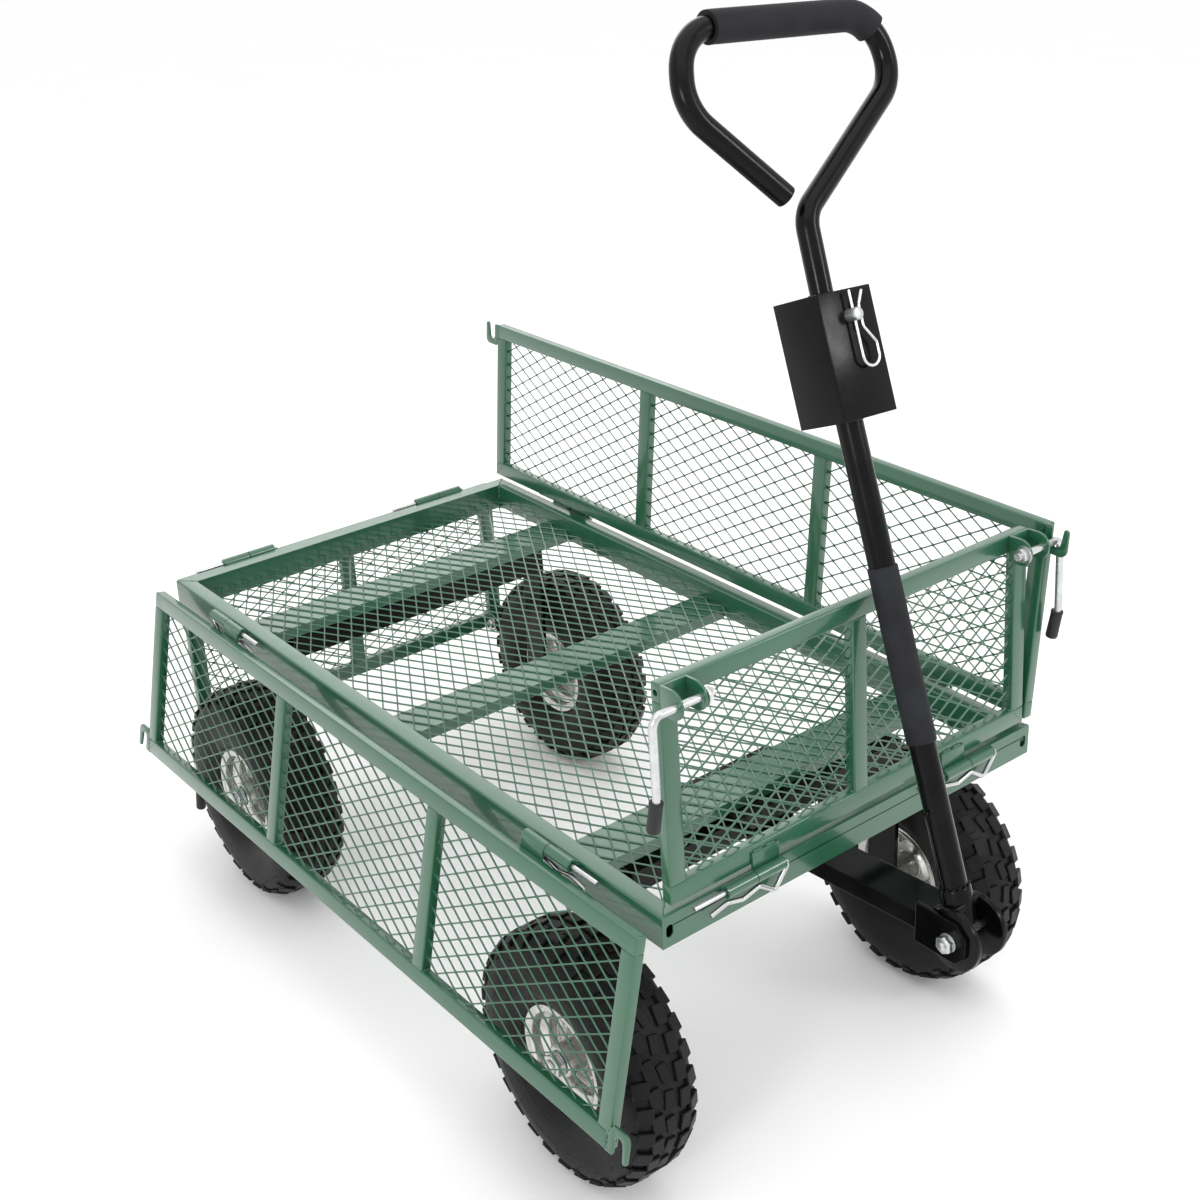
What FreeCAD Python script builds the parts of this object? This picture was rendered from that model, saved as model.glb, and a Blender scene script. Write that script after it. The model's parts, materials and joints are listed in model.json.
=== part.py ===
import FreeCAD, Part
import math
import os

os.makedirs("parts", exist_ok=True)
Vec = FreeCAD.Vector

# Driving dimensions in millimetres. X is forward, Y is the cart's left, Z is up, and the floor is Z = 0.

# Wheels and axles
tyreDiameter = 272.0
tyreWidth = 86.0
tyreWall = 7.0
rimDiameter = 104.0
rimFlangeHeight = 8.0
rimSheet = 2.0
rimWidth = 56.0
beadSeat = 10.0
wellDepth = 8.0
hubDiameter = 34.0
hubInside = 51.0
hubOutside = 33.0
axleDiameter = 16.0
axleClearance = 0.08
axlePast = 13.0
axleNut = 22.0
axleNutHeight = 8.0
wheelInset = 24.0
frontAxleInset = 139.0
rearAxleInset = 159.0
wheelBoltCount = 4
wheelBoltCircle = 66.0
wheelBoltDiameter = 8.0

# Bed
bedLength = 952.0
bedWidth = 508.0
bedHeight = 372.0
bedRailWidth = 20.0
bedRailHeight = 34.0
tubeWall = 1.5
floorDrop = 21.0
crossMemberWidth = 50.0
crossMemberHeight = 14.0
memberWall = 2.0
rearMemberShift = -5.0
middleMemberX = -4.0
frontMemberShift = -12.0
cornerHoleWidth = 8.0
cornerHoleHeight = 13.0
cornerHoleInset = 9.0

# Expanded mesh
meshLong = 32.0
meshShort = 18.8
meshStrand = 1.8
meshThickness = 1.4
meshBorder = 1.2

# Panels: frames of rectangular tube with mesh halfway through their depth
panelHeight = 219.0
panelTubeFace = 19.0
panelTubeDepth = 12.5
panelGap = 8.0
ventDiameter = 6.0
endPanelGap = 1.0
sidePanelPosts = 2
endPanelPosts = 1

# Hinges: bed barrel and panel barrel on one wire pin
sideHingeOffset = 8.5
endHingeOffset = 7.0
hingeDrop = 1.0
hingeSetBack = 6.5
barrelDiameter = 12.5
barrelLength = 36.0
barrelGap = 0.6
leafThickness = 3.0
leafHeight = 13.0
sideHingeInset = 155.0
endHingeInset = 94.5
bracketEdge = 3.5
leafInset = 3.0
leafBelow = 2.0
bracketDepth = 5.0
pinWire = 5.0
pinClearance = 0.5
pinTip = 38.0
pinHook = 9.0
pinReturn = (26.0, 12.0, 17.0, 12.0, 17.0)
pinReturnStep = 20.0
pinBend = 4.0

# Panel angles at rest, in degrees from upright, outwards
leftPanelAngle = 4.5
rightPanelAngle = 169.0
frontPanelAngle = -2.6
rearPanelAngle = 182.0

# Latches on the end panels and hooks on the side panels
earSpacing = 27.0
earThickness = 3.0
earHeight = 28.0
rodDiameter = 8.0
rodForward = 20.5
rodBelowTop = 14.0
earBack = 6.0
rodClearance = 0.3
leverPast = 26.0
rodEnd = 12.0
kneeBend = 12.0
leverFlange = 9.5
leverNut = 13.0
leverBend = 10.0
leverDrop = 66.0
leverKink = 12.0
leverTail = 30.0
gripDiameter = 13.0
gripLength = 32.0
hookReach = 26.0
hookHeight = 30.0
hookThickness = 3.0
slotWidth = 12.0
slotCentre = 12.0
slotDepth = 22.0
hookCorner = 8.0

# Steering, axle supports and tongue
bolsterLength = 110.0
bolsterWidth = 120.0
bolsterShift = -6.0
bolsterThickness = 6.0
turntableGap = 0.6
beamDepth = 40.0
frontBeamHeight = 25.0
rearBeamHeight = 28.0
beamWall = 3.0
legThickness = 6.0
legInset = 52.0
legFoot = 20.0
cheekThickness = 4.0
cheekHeight = 18.0
kingpinDiameter = 14.0
kingpinHead = 19.0
tongueWidth = 44.0
tongueHeight = 20.0
tongueWall = 2.0
tonguePitch = 4.0
tongueBehindPivot = 33.0
tongueTail = 30.0
clevisThickness = 4.0
clevisBack = 41.0
clevisFront = 20.0
clevisChamfer = 12.0
clevisTop = 40.0
clevisBottom = 83.0
clevisBoltDiameter = 10.0
handlePivotReach = 136.0
handlePivotDrop = 62.5

# Handle
handleLean = 21.9
handleSideLean = 2.4
handleBack = 3.0
yokeRadius = 31.0
yokeThickness = 6.5
yokeSideGap = 0.5
socketWall = 2.5
socketLow = 9.0
socketRise = 12.0
lowerTube = 25.4
sleeveWall = 1.6
sleeveStart = 182.0
sleeveEnd = 349.0
boxStart = 486.0
boxEnd = 602.0
boxWidth = 66.0
boxDepth = 60.0
boxWall = 3.0
loopTube = 22.0
loopPath = (
    (0.0, 540.0), (3.0, 676.0), (150.0, 786.0), (142.0, 850.0),
    (-94.0, 850.0), (-108.0, 782.0), (-15.0, 694.0),
)
loopBends = (32.0, 42.0, 42.0, 46.0, 46.0)
gripWall = 4.5
gripFoamStart = -56.0
hitchPinDiameter = 12.0
hitchPinBelow = 24.0
clipWire = 3.0
clipLength = 70.0
clipLoop = 9.0

# Places that line up with the bed
halfLength = bedLength / 2
halfWidth = bedWidth / 2
wheelTrack = bedWidth - wheelInset
legSpacing = wheelTrack - 2 * legInset
frontAxleX = halfLength - frontAxleInset
rearAxleX = rearAxleInset - halfLength
frontMemberX = frontAxleX + frontMemberShift
rearMemberX = rearAxleX + rearMemberShift
sidePanelReach = hingeSetBack + panelTubeDepth - sideHingeOffset
endPanelLength = bedWidth - 2 * (sidePanelReach + endPanelGap)
sideHingeX = halfLength - sideHingeInset
endHingeY = endPanelLength / 2 - endHingeInset
leverPlane = endPanelLength / 2 + leverPast
handlePivotX = halfLength + handlePivotReach
tongueEnd = handlePivotX - tongueBehindPivot
clevisStart = handlePivotX - clevisBack
clevisEnd = handlePivotX + clevisFront

# Values that follow from the ones above
axleHeight = tyreDiameter / 2
bedBottom = bedHeight - bedRailHeight
meshTop = bedHeight - floorDrop
memberTop = meshTop - meshThickness
hingeHeight = bedHeight - hingeDrop
panelBottom = hingeDrop + panelGap
panelOuter = -hingeSetBack
panelInner = panelOuter - panelTubeDepth
panelTop = panelBottom + panelHeight
rodHeight = panelTop - rodBelowTop
rodOut = panelOuter + rodForward
nodes = {}


def box(x0, x1, y0, y1, z0, z1):
    return Part.makeBox(x1 - x0, y1 - y0, z1 - z0, Vec(x0, y0, z0))


def fuse(shapes):
    return shapes[0].multiFuse(shapes[1:]).removeSplitter()


def keep(name, *shapes):
    solids = [s for shape in shapes for s in shape.Solids]
    nodes[name] = solids[0] if len(solids) == 1 else Part.makeCompound(solids)


def moved(shape, placement):
    out = shape.copy()
    out.Placement = placement.multiply(out.Placement)
    return out


def hollowBar(x0, x1, y0, y1, z0, z1, wall, along):
    """A rectangular tube, open at both ends."""
    a, b, c = {"x": (0, wall, wall), "y": (wall, 0, wall), "z": (wall, wall, 0)}[along]
    hole = box(x0 + a, x1 - a, y0 + b, y1 - b, z0 + c, z1 - c)
    return box(x0, x1, y0, y1, z0, z1).cut(hole)


def rodBetween(start, end, radius):
    way = end - start
    return Part.makeCylinder(radius, way.Length, start, way)


def hexagon(centre, way, across, thickness):
    side = Vec(0, 0, 1) if abs(way.z) < 0.5 else Vec(1, 0, 0)
    other = way.cross(side)
    corners = []
    for k in range(7):
        turn = math.radians(60 * k)
        step = side * math.cos(turn) + other * math.sin(turn)
        corners.append(centre + step * (across / math.sqrt(3)))
    return Part.Face(Part.makePolygon(corners)).extrude(way * thickness)


def roundedPath(points, bends):
    """Straight runs with an arc at each inner point."""
    edges = []
    start = points[0]
    for k in range(1, len(points) - 1):
        before = (points[k - 1] - points[k]).normalize()
        after = (points[k + 1] - points[k]).normalize()
        half = before.getAngle(after) / 2
        setBack = bends[k - 1] / math.tan(half)
        first = points[k] + before * setBack
        last = points[k] + after * setBack
        centreWay = (before + after).normalize()
        centre = points[k] + centreWay * (bends[k - 1] / math.sin(half))
        middle = centre - centreWay * bends[k - 1]
        edges.append(Part.makeLine(start, first))
        edges.append(Part.Arc(first, middle, last).toShape())
        start = last
    edges.append(Part.makeLine(start, points[-1]))
    return Part.Wire(edges)


def swept(path, radius, start, way):
    ring = Part.Wire(Part.makeCircle(radius, start, way))
    return path.makePipeShell([ring], True, False)


def bentRod(points, bends, radius):
    return swept(roundedPath(points, bends), radius, points[0], points[1] - points[0])


def ringOfRevolution(outline):
    """Turns an outline of (radius, y) points about the Y axis."""
    corners = [Vec(r, y, 0) for r, y in outline]
    corners.append(corners[0])
    return Part.Face(Part.makePolygon(corners)).revolve(Vec(0, 0, 0), Vec(0, 1, 0), 360)


def clipPolygon(corners, axis, limit, keepBelow):
    """The part of a convex polygon on one side of a line."""
    out = []
    for k, here in enumerate(corners):
        last = corners[k - 1]
        insideHere = (here[axis] <= limit) == keepBelow
        insideLast = (last[axis] <= limit) == keepBelow
        if insideHere != insideLast:
            share = (limit - last[axis]) / (here[axis] - last[axis])
            out.append(tuple(a + (b - a) * share for a, b in zip(last, here)))
        if insideHere:
            out.append(here)
    return out


def area(corners):
    total = 0
    for k, here in enumerate(corners):
        last = corners[k - 1]
        total += last[0] * here[1] - here[0] * last[1]
    return abs(total) / 2


def diamondSheet(u0, u1, v0, v1):
    """Expanded mesh that fills a window, flat at Z = 0 and meshThickness thick."""
    slope = math.hypot(meshLong, meshShort)
    halfLong = meshLong / 2 - meshStrand / 2 * slope / meshShort
    halfShort = meshShort / 2 - meshStrand / 2 * slope / meshLong
    middleU = (u0 + u1) / 2
    middleV = (v0 + v1) / 2
    columns = int((u1 - u0) / meshLong) + 2
    rows = int((v1 - v0) / meshShort) + 2
    limits = (
        (0, u0 + meshBorder, False), (0, u1 - meshBorder, True),
        (1, v0 + meshBorder, False), (1, v1 - meshBorder, True),
    )
    wires = []
    for column in range(-columns, columns + 1):
        for row in range(-rows, rows + 1):
            if (column + row) % 2:
                continue
            u = middleU + column * meshLong / 2
            v = middleV + row * meshShort / 2
            hole = [(u + halfLong, v), (u, v + halfShort), (u - halfLong, v), (u, v - halfShort)]
            for axis, limit, keepBelow in limits:
                hole = clipPolygon(hole, axis, limit, keepBelow)
            if len(hole) < 3 or area(hole) < 4:
                continue
            corners = [Vec(a, b, 0) for a, b in hole]
            wires.append(Part.makePolygon(corners + corners[:1]))
    edge = [Vec(u0, v0, 0), Vec(u1, v0, 0), Vec(u1, v1, 0), Vec(u0, v1, 0), Vec(u0, v0, 0)]
    sheet = Part.Face([Part.makePolygon(edge)] + wires)
    sheet.validate()
    return sheet.extrude(Vec(0, 0, meshThickness))


def barrel(u0, u1):
    solid = Part.makeCylinder(barrelDiameter / 2, u1 - u0, Vec(u0, 0, 0), Vec(1, 0, 0))
    bore = Part.makeCylinder(pinWire / 2 + pinClearance, u1 - u0, Vec(u0, 0, 0), Vec(1, 0, 0))
    return solid.cut(bore), bore


def mitreWedge(signX, signY, onEnd):
    """The half of a bed corner that belongs to the other rail."""
    outer = Vec(signX * halfLength, signY * halfWidth, bedBottom)
    inner = Vec(signX * (halfLength - bedRailWidth), signY * (halfWidth - bedRailWidth), bedBottom)
    third = Vec(inner.x, outer.y, bedBottom) if onEnd else Vec(outer.x, inner.y, bedBottom)
    return Part.Face(Part.makePolygon([outer, inner, third, outer])).extrude(Vec(0, 0, bedRailHeight))


# Bed frame, mitred at its corners
for name, sign in (("bed_front_rail", 1), ("bed_rear_rail", -1)):
    near, far = sorted((sign * halfLength, sign * (halfLength - bedRailWidth)))
    rail = hollowBar(near, far, -halfWidth, halfWidth, bedBottom, bedHeight, tubeWall, "y")
    for side in (1, -1):
        centre = Vec(0, side * (halfWidth - cornerHoleInset), bedHeight - bedRailHeight / 2)
        flat = (cornerHoleHeight - cornerHoleWidth) / 2
        for step in (flat, -flat):
            start = centre + Vec(sign * (halfLength - 5), 0, step)
            rail = rail.cut(Part.makeCylinder(cornerHoleWidth / 2, 10, start, Vec(sign, 0, 0)))
        low, high = sorted((sign * (halfLength - 5), sign * (halfLength + 5)))
        half = cornerHoleWidth / 2
        slot = box(low, high, centre.y - half, centre.y + half, centre.z - flat, centre.z + flat)
        rail = rail.cut(slot).cut(mitreWedge(sign, side, True))
    keep(name, rail)

sideRails = []
for side in (1, -1):
    low, high = sorted((side * halfWidth, side * (halfWidth - bedRailWidth)))
    rail = hollowBar(-halfLength, halfLength, low, high, bedBottom, bedHeight, tubeWall, "x")
    for sign in (1, -1):
        rail = rail.cut(mitreWedge(sign, side, False))
    sideRails.append(rail)
keep("bed_side_rails", *sideRails)

windowX = halfLength - bedRailWidth
windowY = halfWidth - bedRailWidth
floorMesh = diamondSheet(-windowX, windowX, -windowY, windowY)
keep("bed_floor_mesh", moved(floorMesh, FreeCAD.Placement(Vec(0, 0, memberTop), FreeCAD.Rotation())))

members = []
for x in (rearMemberX, middleMemberX, frontMemberX):
    half = crossMemberWidth / 2
    low = memberTop - crossMemberHeight
    outside = box(x - half, x + half, -windowY, windowY, low, memberTop)
    inner = half - memberWall
    inside = box(x - inner, x + inner, -windowY, windowY, low, memberTop - memberWall)
    members.append(outside.cut(inside))
keep("bed_cross_members", *members)

# Panels. Each is built upright round its hinge line: X along the hinge, Y outwards and Z up.
facing = {"left": 0, "rear": 90, "right": 180, "front": -90}
openAngle = {
    "left": leftPanelAngle, "right": rightPanelAngle, "front": frontPanelAngle, "rear": rearPanelAngle,
}
hingePoint = {
    "left": Vec(0, halfWidth + sideHingeOffset, hingeHeight),
    "right": Vec(0, -halfWidth - sideHingeOffset, hingeHeight),
    "front": Vec(halfLength + endHingeOffset, 0, hingeHeight),
    "rear": Vec(-halfLength - endHingeOffset, 0, hingeHeight),
}


def onBed(shape, side):
    turn = FreeCAD.Rotation(Vec(0, 0, 1), facing[side])
    return moved(shape, FreeCAD.Placement(hingePoint[side], turn))


def onPanel(shape, side):
    swing = FreeCAD.Rotation(Vec(1, 0, 0), -openAngle[side])
    return onBed(moved(shape, FreeCAD.Placement(Vec(0, 0, 0), swing)), side)


def panelFrame(length, posts):
    half = length / 2
    low = panelBottom
    high = panelTop
    face = panelTubeFace
    centres = [(-half + face / 2) + (length - face) * k / (posts + 1) for k in range(posts + 2)]
    back = panelInner + tubeWall
    front = panelOuter - tubeWall
    inside = half - tubeWall
    outer = []
    hollow = []
    for z in (low, high - face):
        outer.append(box(-half, half, panelInner, panelOuter, z, z + face))
        hollow.append(box(-inside, inside, back, front, z + tubeWall, z + face - tubeWall))
    for u in centres:
        outer.append(box(u - face / 2, u + face / 2, panelInner, panelOuter, low + face, high - face))
        wide = face / 2 - tubeWall
        hollow.append(box(u - wide, u + wide, back, front, low + face - tubeWall, high - face + tubeWall))
    vent = Vec(-half - 1, (panelInner + panelOuter) / 2, high - face / 2)
    hollow.append(Part.makeCylinder(ventDiameter / 2, length + 2, vent, Vec(1, 0, 0)))
    return fuse(outer).cut(fuse(hollow)), centres


def panelMesh(centres):
    middle = (panelInner + panelOuter) / 2
    low = panelBottom + panelTubeFace
    high = panelTop - panelTubeFace
    upright = FreeCAD.Rotation(Vec(1, 0, 0), 90)
    sheets = []
    for left, right in zip(centres, centres[1:]):
        window = diamondSheet(left + panelTubeFace / 2, right - panelTubeFace / 2, low, high)
        sheets.append(moved(window, FreeCAD.Placement(Vec(0, middle + meshThickness / 2, 0), upright)))
    return sheets


def hingeHalves(reach, offset):
    """The bed's barrels with their brackets, and the panel's barrels with their leaves."""
    bedPieces = []
    panelPieces = []
    near = barrelGap / 2
    far = near + barrelLength
    for end in (1, -1):
        low, high = sorted((end * (reach + near), end * (reach + far)))
        solid, bore = barrel(low, high)
        bracket = box(low, high, -offset, -bracketEdge, -bracketDepth, 0)
        bedPieces.append(solid.fuse(bracket).cut(bore).removeSplitter())
        low, high = sorted((end * (reach - near), end * (reach - far)))
        solid, bore = barrel(low, high)
        leafTop = panelBottom + leafHeight
        leafOuter = panelOuter + leafThickness
        leaf = box(low + leafInset, high - leafInset, panelOuter, leafOuter, -leafBelow, leafTop)
        panelPieces.append(solid.fuse(leaf).cut(bore).removeSplitter())
    return bedPieces, panelPieces


def wirePin(reach, way):
    """One bent wire pin on the hinge line, with its wavy return leg."""
    span = barrelGap / 2 + barrelLength
    out = reach + way * (span + pinHook)
    points = [Vec(reach - way * (span + pinTip), 0, 0), Vec(out, 0, 0)]
    for k, depth in enumerate(pinReturn):
        along = out - way * pinReturnStep * (k + 1)
        points.append(Vec(along, 0, -depth))
    return bentRod(points, [pinBend] * (len(points) - 2), pinWire / 2)


def hookPlate(half):
    """A hook past the end of a side panel's top rail, with its slot open at the top."""
    low = panelTop - hookHeight
    outer = panelInner + hookThickness
    past = half + hookReach
    back = box(half, past, panelInner, outer, low, panelTop)
    corner = box(past - hookCorner, past, panelInner, outer, low, low + hookCorner)
    centre = Vec(past - hookCorner, panelInner, low + hookCorner)
    turned = Part.makeCylinder(hookCorner, hookThickness, centre, Vec(0, 1, 0))
    back = back.cut(corner).fuse(turned.common(corner))
    edge = slotWidth / 2
    centre = Vec(half + slotCentre, panelInner, panelTop - slotDepth + edge)
    slot = Part.makeCylinder(edge, hookThickness, centre, Vec(0, 1, 0))
    top = box(centre.x - edge, centre.x + edge, panelInner, outer, centre.z, panelTop)
    return back.cut(slot).cut(top).removeSplitter()


def mirrorX(shape):
    return shape.mirror(Vec(0, 0, 0), Vec(1, 0, 0))


def latchBracket(half):
    """A U bracket on the end panel's outer face, at the end of its top rail."""
    tip = earHeight / 2
    low = rodHeight - tip
    high = rodHeight + tip
    pieces = []
    for u in (half - earThickness, half - earThickness - earSpacing):
        flat = box(u, u + earThickness, panelOuter, rodOut - earBack, low, high)
        end = Part.makeCylinder(tip, earThickness, Vec(u, rodOut - earBack, rodHeight), Vec(1, 0, 0))
        pieces.append(flat.fuse(end))
    back = box(half - earSpacing, half - earThickness, panelOuter, panelOuter + earThickness, low, high)
    pieces.append(back)
    start = Vec(half - 2 * earSpacing, rodOut, rodHeight)
    hole = Part.makeCylinder(rodDiameter / 2 + rodClearance, 3 * earSpacing, start, Vec(1, 0, 0))
    return fuse(pieces).cut(hole)


def latchLever(half, down):
    """The bent rod, its nut and its rubber grip. Down is -1 with the lever hanging along the panel."""
    inner = half - earThickness - earSpacing
    start = Vec(inner - rodEnd, rodOut, rodHeight)
    kink = math.radians(leverKink)
    corner = Vec(leverPlane, rodOut, rodHeight)
    knee = corner + Vec(0, 0, down * (leverBend + leverDrop))
    tail = knee + Vec(0, -math.sin(kink) * leverTail, down * math.cos(kink) * leverTail)
    rod = bentRod([start, corner, knee, tail], [leverBend, kneeBend], rodDiameter / 2)
    flange = Part.makeCylinder(leverFlange, 2.5, Vec(inner - 3.1, rodOut, rodHeight), Vec(1, 0, 0))
    nut = hexagon(Vec(inner - 9.5, rodOut, rodHeight), Vec(1, 0, 0), leverNut, 6.5)
    rod = fuse([rod, flange, nut])
    way = (tail - knee).normalize()
    sleeve = Part.makeCylinder(gripDiameter / 2, gripLength, tail - way * (gripLength - 6), way)
    core = Part.makeCylinder(rodDiameter / 2, gripLength - 6, tail - way * (gripLength - 6), way)
    return rod, sleeve.cut(core)


sideSpan = (bedLength, sidePanelPosts, sideHingeX, sideHingeOffset)
endSpan = (endPanelLength, endPanelPosts, endHingeY, endHingeOffset)
spans = {"left": sideSpan, "right": sideSpan, "front": endSpan, "rear": endSpan}
pinWay = {"left": 1, "right": 1, "front": -1, "rear": 1}
leverDown = {"front": -1, "rear": 1}
bedBarrels = []
for side in ("left", "right", "front", "rear"):
    length, posts, reach, offset = spans[side]
    frame, centres = panelFrame(length, posts)
    bedPieces, fittings = hingeHalves(reach, offset)
    bedBarrels += [onBed(piece, side) for piece in bedPieces]
    pins = [wirePin(end * reach, pinWay[side]) for end in (1, -1)]
    if side in ("left", "right"):
        hook = hookPlate(length / 2)
        fittings += [hook, mirrorX(hook)]
    else:
        bracket = latchBracket(length / 2)
        fittings += [bracket, mirrorX(bracket)]
        lever, grip = latchLever(length / 2, leverDown[side])
        for end in ("left", "right"):
            flipped = (side == "front") == (end == "left")
            pieces = (mirrorX(lever), mirrorX(grip)) if flipped else (lever, grip)
            keep(side + "_" + end + "_latch_rod", onPanel(pieces[0], side))
            keep(side + "_" + end + "_latch_grip", onPanel(pieces[1], side))
    keep(side + "_panel_frame", onPanel(frame, side))
    keep(side + "_panel_mesh", *[onPanel(sheet, side) for sheet in panelMesh(centres)])
    keep(side + "_panel_fittings", *[onPanel(piece, side) for piece in fittings])
    keep(side + "_hinge_pins", *[onBed(pin, side) for pin in pins])
keep("bed_hinge_barrels", *bedBarrels)


# Wheels
# The tyre's outline as shares of its rise above the bead and of its half width
tyreProfile = (
    (0.10, 0.70), (0.16, 0.82), (0.30, 0.95), (0.50, 1.00), (0.70, 0.96),
    (0.84, 0.84), (0.94, 0.62), (0.985, 0.34), (1.0, 0.12),
)


def wheelParts():
    """A pneumatic tyre, a two-piece pressed rim and a hub with its bolts, round the Y axis."""
    bead = rimDiameter / 2
    half = tyreWidth / 2
    seat = rimWidth / 2
    rise = tyreDiameter / 2 - bead
    lining = rise - tyreWall
    outside = [(bead, seat - beadSeat), (bead, seat), (bead + rimFlangeHeight, seat)]
    outside += [(bead + rise * up, half * wide) for up, wide in tyreProfile]
    inside = [(bead + lining * up, (half - tyreWall) * wide) for up, wide in reversed(tyreProfile[1:])]
    inside.append((bead + tyreWall, seat - beadSeat))
    outline = outside + [(r, -y) for r, y in reversed(outside)]
    outline += [(r, -y) for r, y in reversed(inside)] + inside
    tyre = ringOfRevolution(outline)

    well = bead - wellDepth
    bore = hubDiameter / 2
    sheet = rimSheet
    rimOutline = [
        (bore, 0), (well, 0), (well, seat - beadSeat - 4), (bead, seat - beadSeat - 0.5),
        (bead, seat), (bead + rimFlangeHeight, seat), (bead + rimFlangeHeight, seat + sheet),
        (bead - sheet, seat + sheet), (bead - sheet, seat - beadSeat + 1),
        (well - sheet, seat - beadSeat - 2.5), (well - sheet, sheet), (bore, sheet),
    ]
    halves = [ringOfRevolution(rimOutline)]
    halves.append(halves[0].mirror(Vec(0, 0, 0), Vec(0, 1, 0)))
    hub = Part.makeCylinder(bore, hubInside + hubOutside, Vec(0, -hubInside, 0), Vec(0, 1, 0))
    axleHole = Part.makeCylinder(axleDiameter / 2 + axleClearance, 200, Vec(0, -100, 0), Vec(0, 1, 0))
    pieces = [hub.cut(axleHole)]
    for k in range(wheelBoltCount):
        turn = math.radians(360 / wheelBoltCount * (k + 0.5))
        x = wheelBoltCircle / 2 * math.cos(turn)
        z = wheelBoltCircle / 2 * math.sin(turn)
        shank = Part.makeCylinder(wheelBoltDiameter / 2, 18, Vec(x, -sheet - 4, z), Vec(0, 1, 0))
        head = hexagon(Vec(x, -sheet - 5, z), Vec(0, 1, 0), 12, 5)
        nut = hexagon(Vec(x, sheet, z), Vec(0, 1, 0), 12, 6)
        hole = Part.makeCylinder(wheelBoltDiameter / 2, 20, Vec(x, -10, z), Vec(0, 1, 0))
        halves = [piece.cut(hole) for piece in halves]
        pieces.append(fuse([shank, head, nut]))
    return tyre, halves, pieces


tyre, rimHalves, hubPieces = wheelParts()
for end, x in (("front", frontAxleX), ("rear", rearAxleX)):
    for side, sign in (("left", 1), ("right", -1)):
        turn = FreeCAD.Rotation(Vec(0, 0, 1), 0 if sign > 0 else 180)
        place = FreeCAD.Placement(Vec(x, sign * wheelTrack / 2, axleHeight), turn)
        keep(end + "_" + side + "_tyre", moved(tyre, place))
        keep(end + "_" + side + "_rim", *[moved(piece, place) for piece in rimHalves])
        keep(end + "_" + side + "_hub", *[moved(piece, place) for piece in hubPieces])


# Axles and their supports
def stubAxles(x):
    """A stub axle at each side, with its head inside the leg and a nut outside the hub."""
    end = wheelTrack / 2 + hubOutside
    inner = legSpacing / 2 - legThickness
    reach = end + axlePast - inner
    stubs = []
    for sign in (1, -1):
        way = Vec(0, sign, 0)
        start = Vec(x, sign * inner, axleHeight)
        shaft = Part.makeCylinder(axleDiameter / 2, reach, start, way)
        head = hexagon(start, Vec(0, -sign, 0), axleNut, axleNutHeight)
        washer = Part.makeCylinder(13, 1.6, Vec(x, sign * (end + 0.6), axleHeight), way)
        nut = hexagon(Vec(x, sign * (end + 2.2), axleHeight), way, axleNut, axleNutHeight)
        stubs.append(fuse([shaft, head, washer, nut]))
    return stubs


def axleBeam(x, top, height):
    """A rectangular tube across the cart with a leg down to the axle at each end."""
    half = beamDepth / 2
    reach = legSpacing / 2
    bar = hollowBar(x - half, x + half, -reach, reach, top - height, top, beamWall, "y")
    hole = Part.makeCylinder(axleDiameter / 2, 2 * reach, Vec(x, -reach, axleHeight), Vec(0, 1, 0))
    foot = Part.makeCylinder(legFoot, 2 * reach, Vec(x, -reach, axleHeight), Vec(0, 1, 0))
    legs = []
    for inner in (-reach, reach - legThickness):
        slab = box(x - half, x + half, inner, inner + legThickness, axleHeight - legFoot, top - height)
        upper = box(x - half, x + half, inner, inner + legThickness, axleHeight, top - height)
        legs.append(upper.fuse(foot.common(slab)).cut(hole).removeSplitter())
    return bar, legs


memberBottom = memberTop - crossMemberHeight
bar, legs = axleBeam(rearAxleX, memberBottom, rearBeamHeight)
keep("rear_axle_beam", bar, *legs)
keep("rear_axle", *stubAxles(rearAxleX))

bolsterX = frontAxleX + bolsterShift - bolsterLength / 2
bolsterLow = memberBottom - bolsterThickness
corner = Vec(bolsterX, -bolsterWidth / 2, bolsterLow)
bolster = Part.makeBox(bolsterLength, bolsterWidth, bolsterThickness, corner)
pivotHole = Part.makeCylinder(kingpinDiameter / 2 + 0.3, 40, Vec(frontAxleX, 0, memberBottom - 30))
keep("steering_bolster", bolster.cut(pivotHole))

beamTop = memberBottom - bolsterThickness - turntableGap
bar, legs = axleBeam(frontAxleX, beamTop, frontBeamHeight)
tongueTop = beamTop - frontBeamHeight
kingpinLow = tongueTop - tongueHeight - 8
start = Vec(frontAxleX, 0, kingpinLow)
kingpin = Part.makeCylinder(kingpinDiameter / 2, memberBottom + 4 - kingpinLow, start)
head = Part.makeCylinder(kingpinHead / 2, 7, Vec(frontAxleX, 0, memberBottom + 0.6))
kingpin = kingpin.fuse(head).removeSplitter()
pitch = FreeCAD.Rotation(Vec(0, 1, 0), -tonguePitch)
slant = math.radians(tonguePitch)
reach = (tongueEnd - frontAxleX) / math.cos(slant)
drop = beamDepth / 2 * math.tan(slant)
tongueSpot = FreeCAD.Placement(Vec(frontAxleX, 0, tongueTop - drop), pitch)
tongue = hollowBar(-tongueTail, reach, -tongueWidth / 2, tongueWidth / 2, -tongueHeight, 0, tongueWall, "x")
kingpinHole = Part.makeCylinder(kingpinDiameter / 2, 100, Vec(frontAxleX, 0, tongueTop - 60))
keep("tongue", moved(tongue, tongueSpot).cut(kingpinHole))
half = beamDepth / 2
cheeks = []
for sign in (1, -1):
    low, high = sorted((sign * tongueWidth / 2, sign * (tongueWidth / 2 + cheekThickness)))
    cheeks.append(box(frontAxleX - half, frontAxleX + half, low, high, tongueTop - cheekHeight, tongueTop))
keep("front_axle_beam", bar.cut(kingpinHole), *legs, *cheeks)
keep("front_axle", *stubAxles(frontAxleX))
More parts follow.
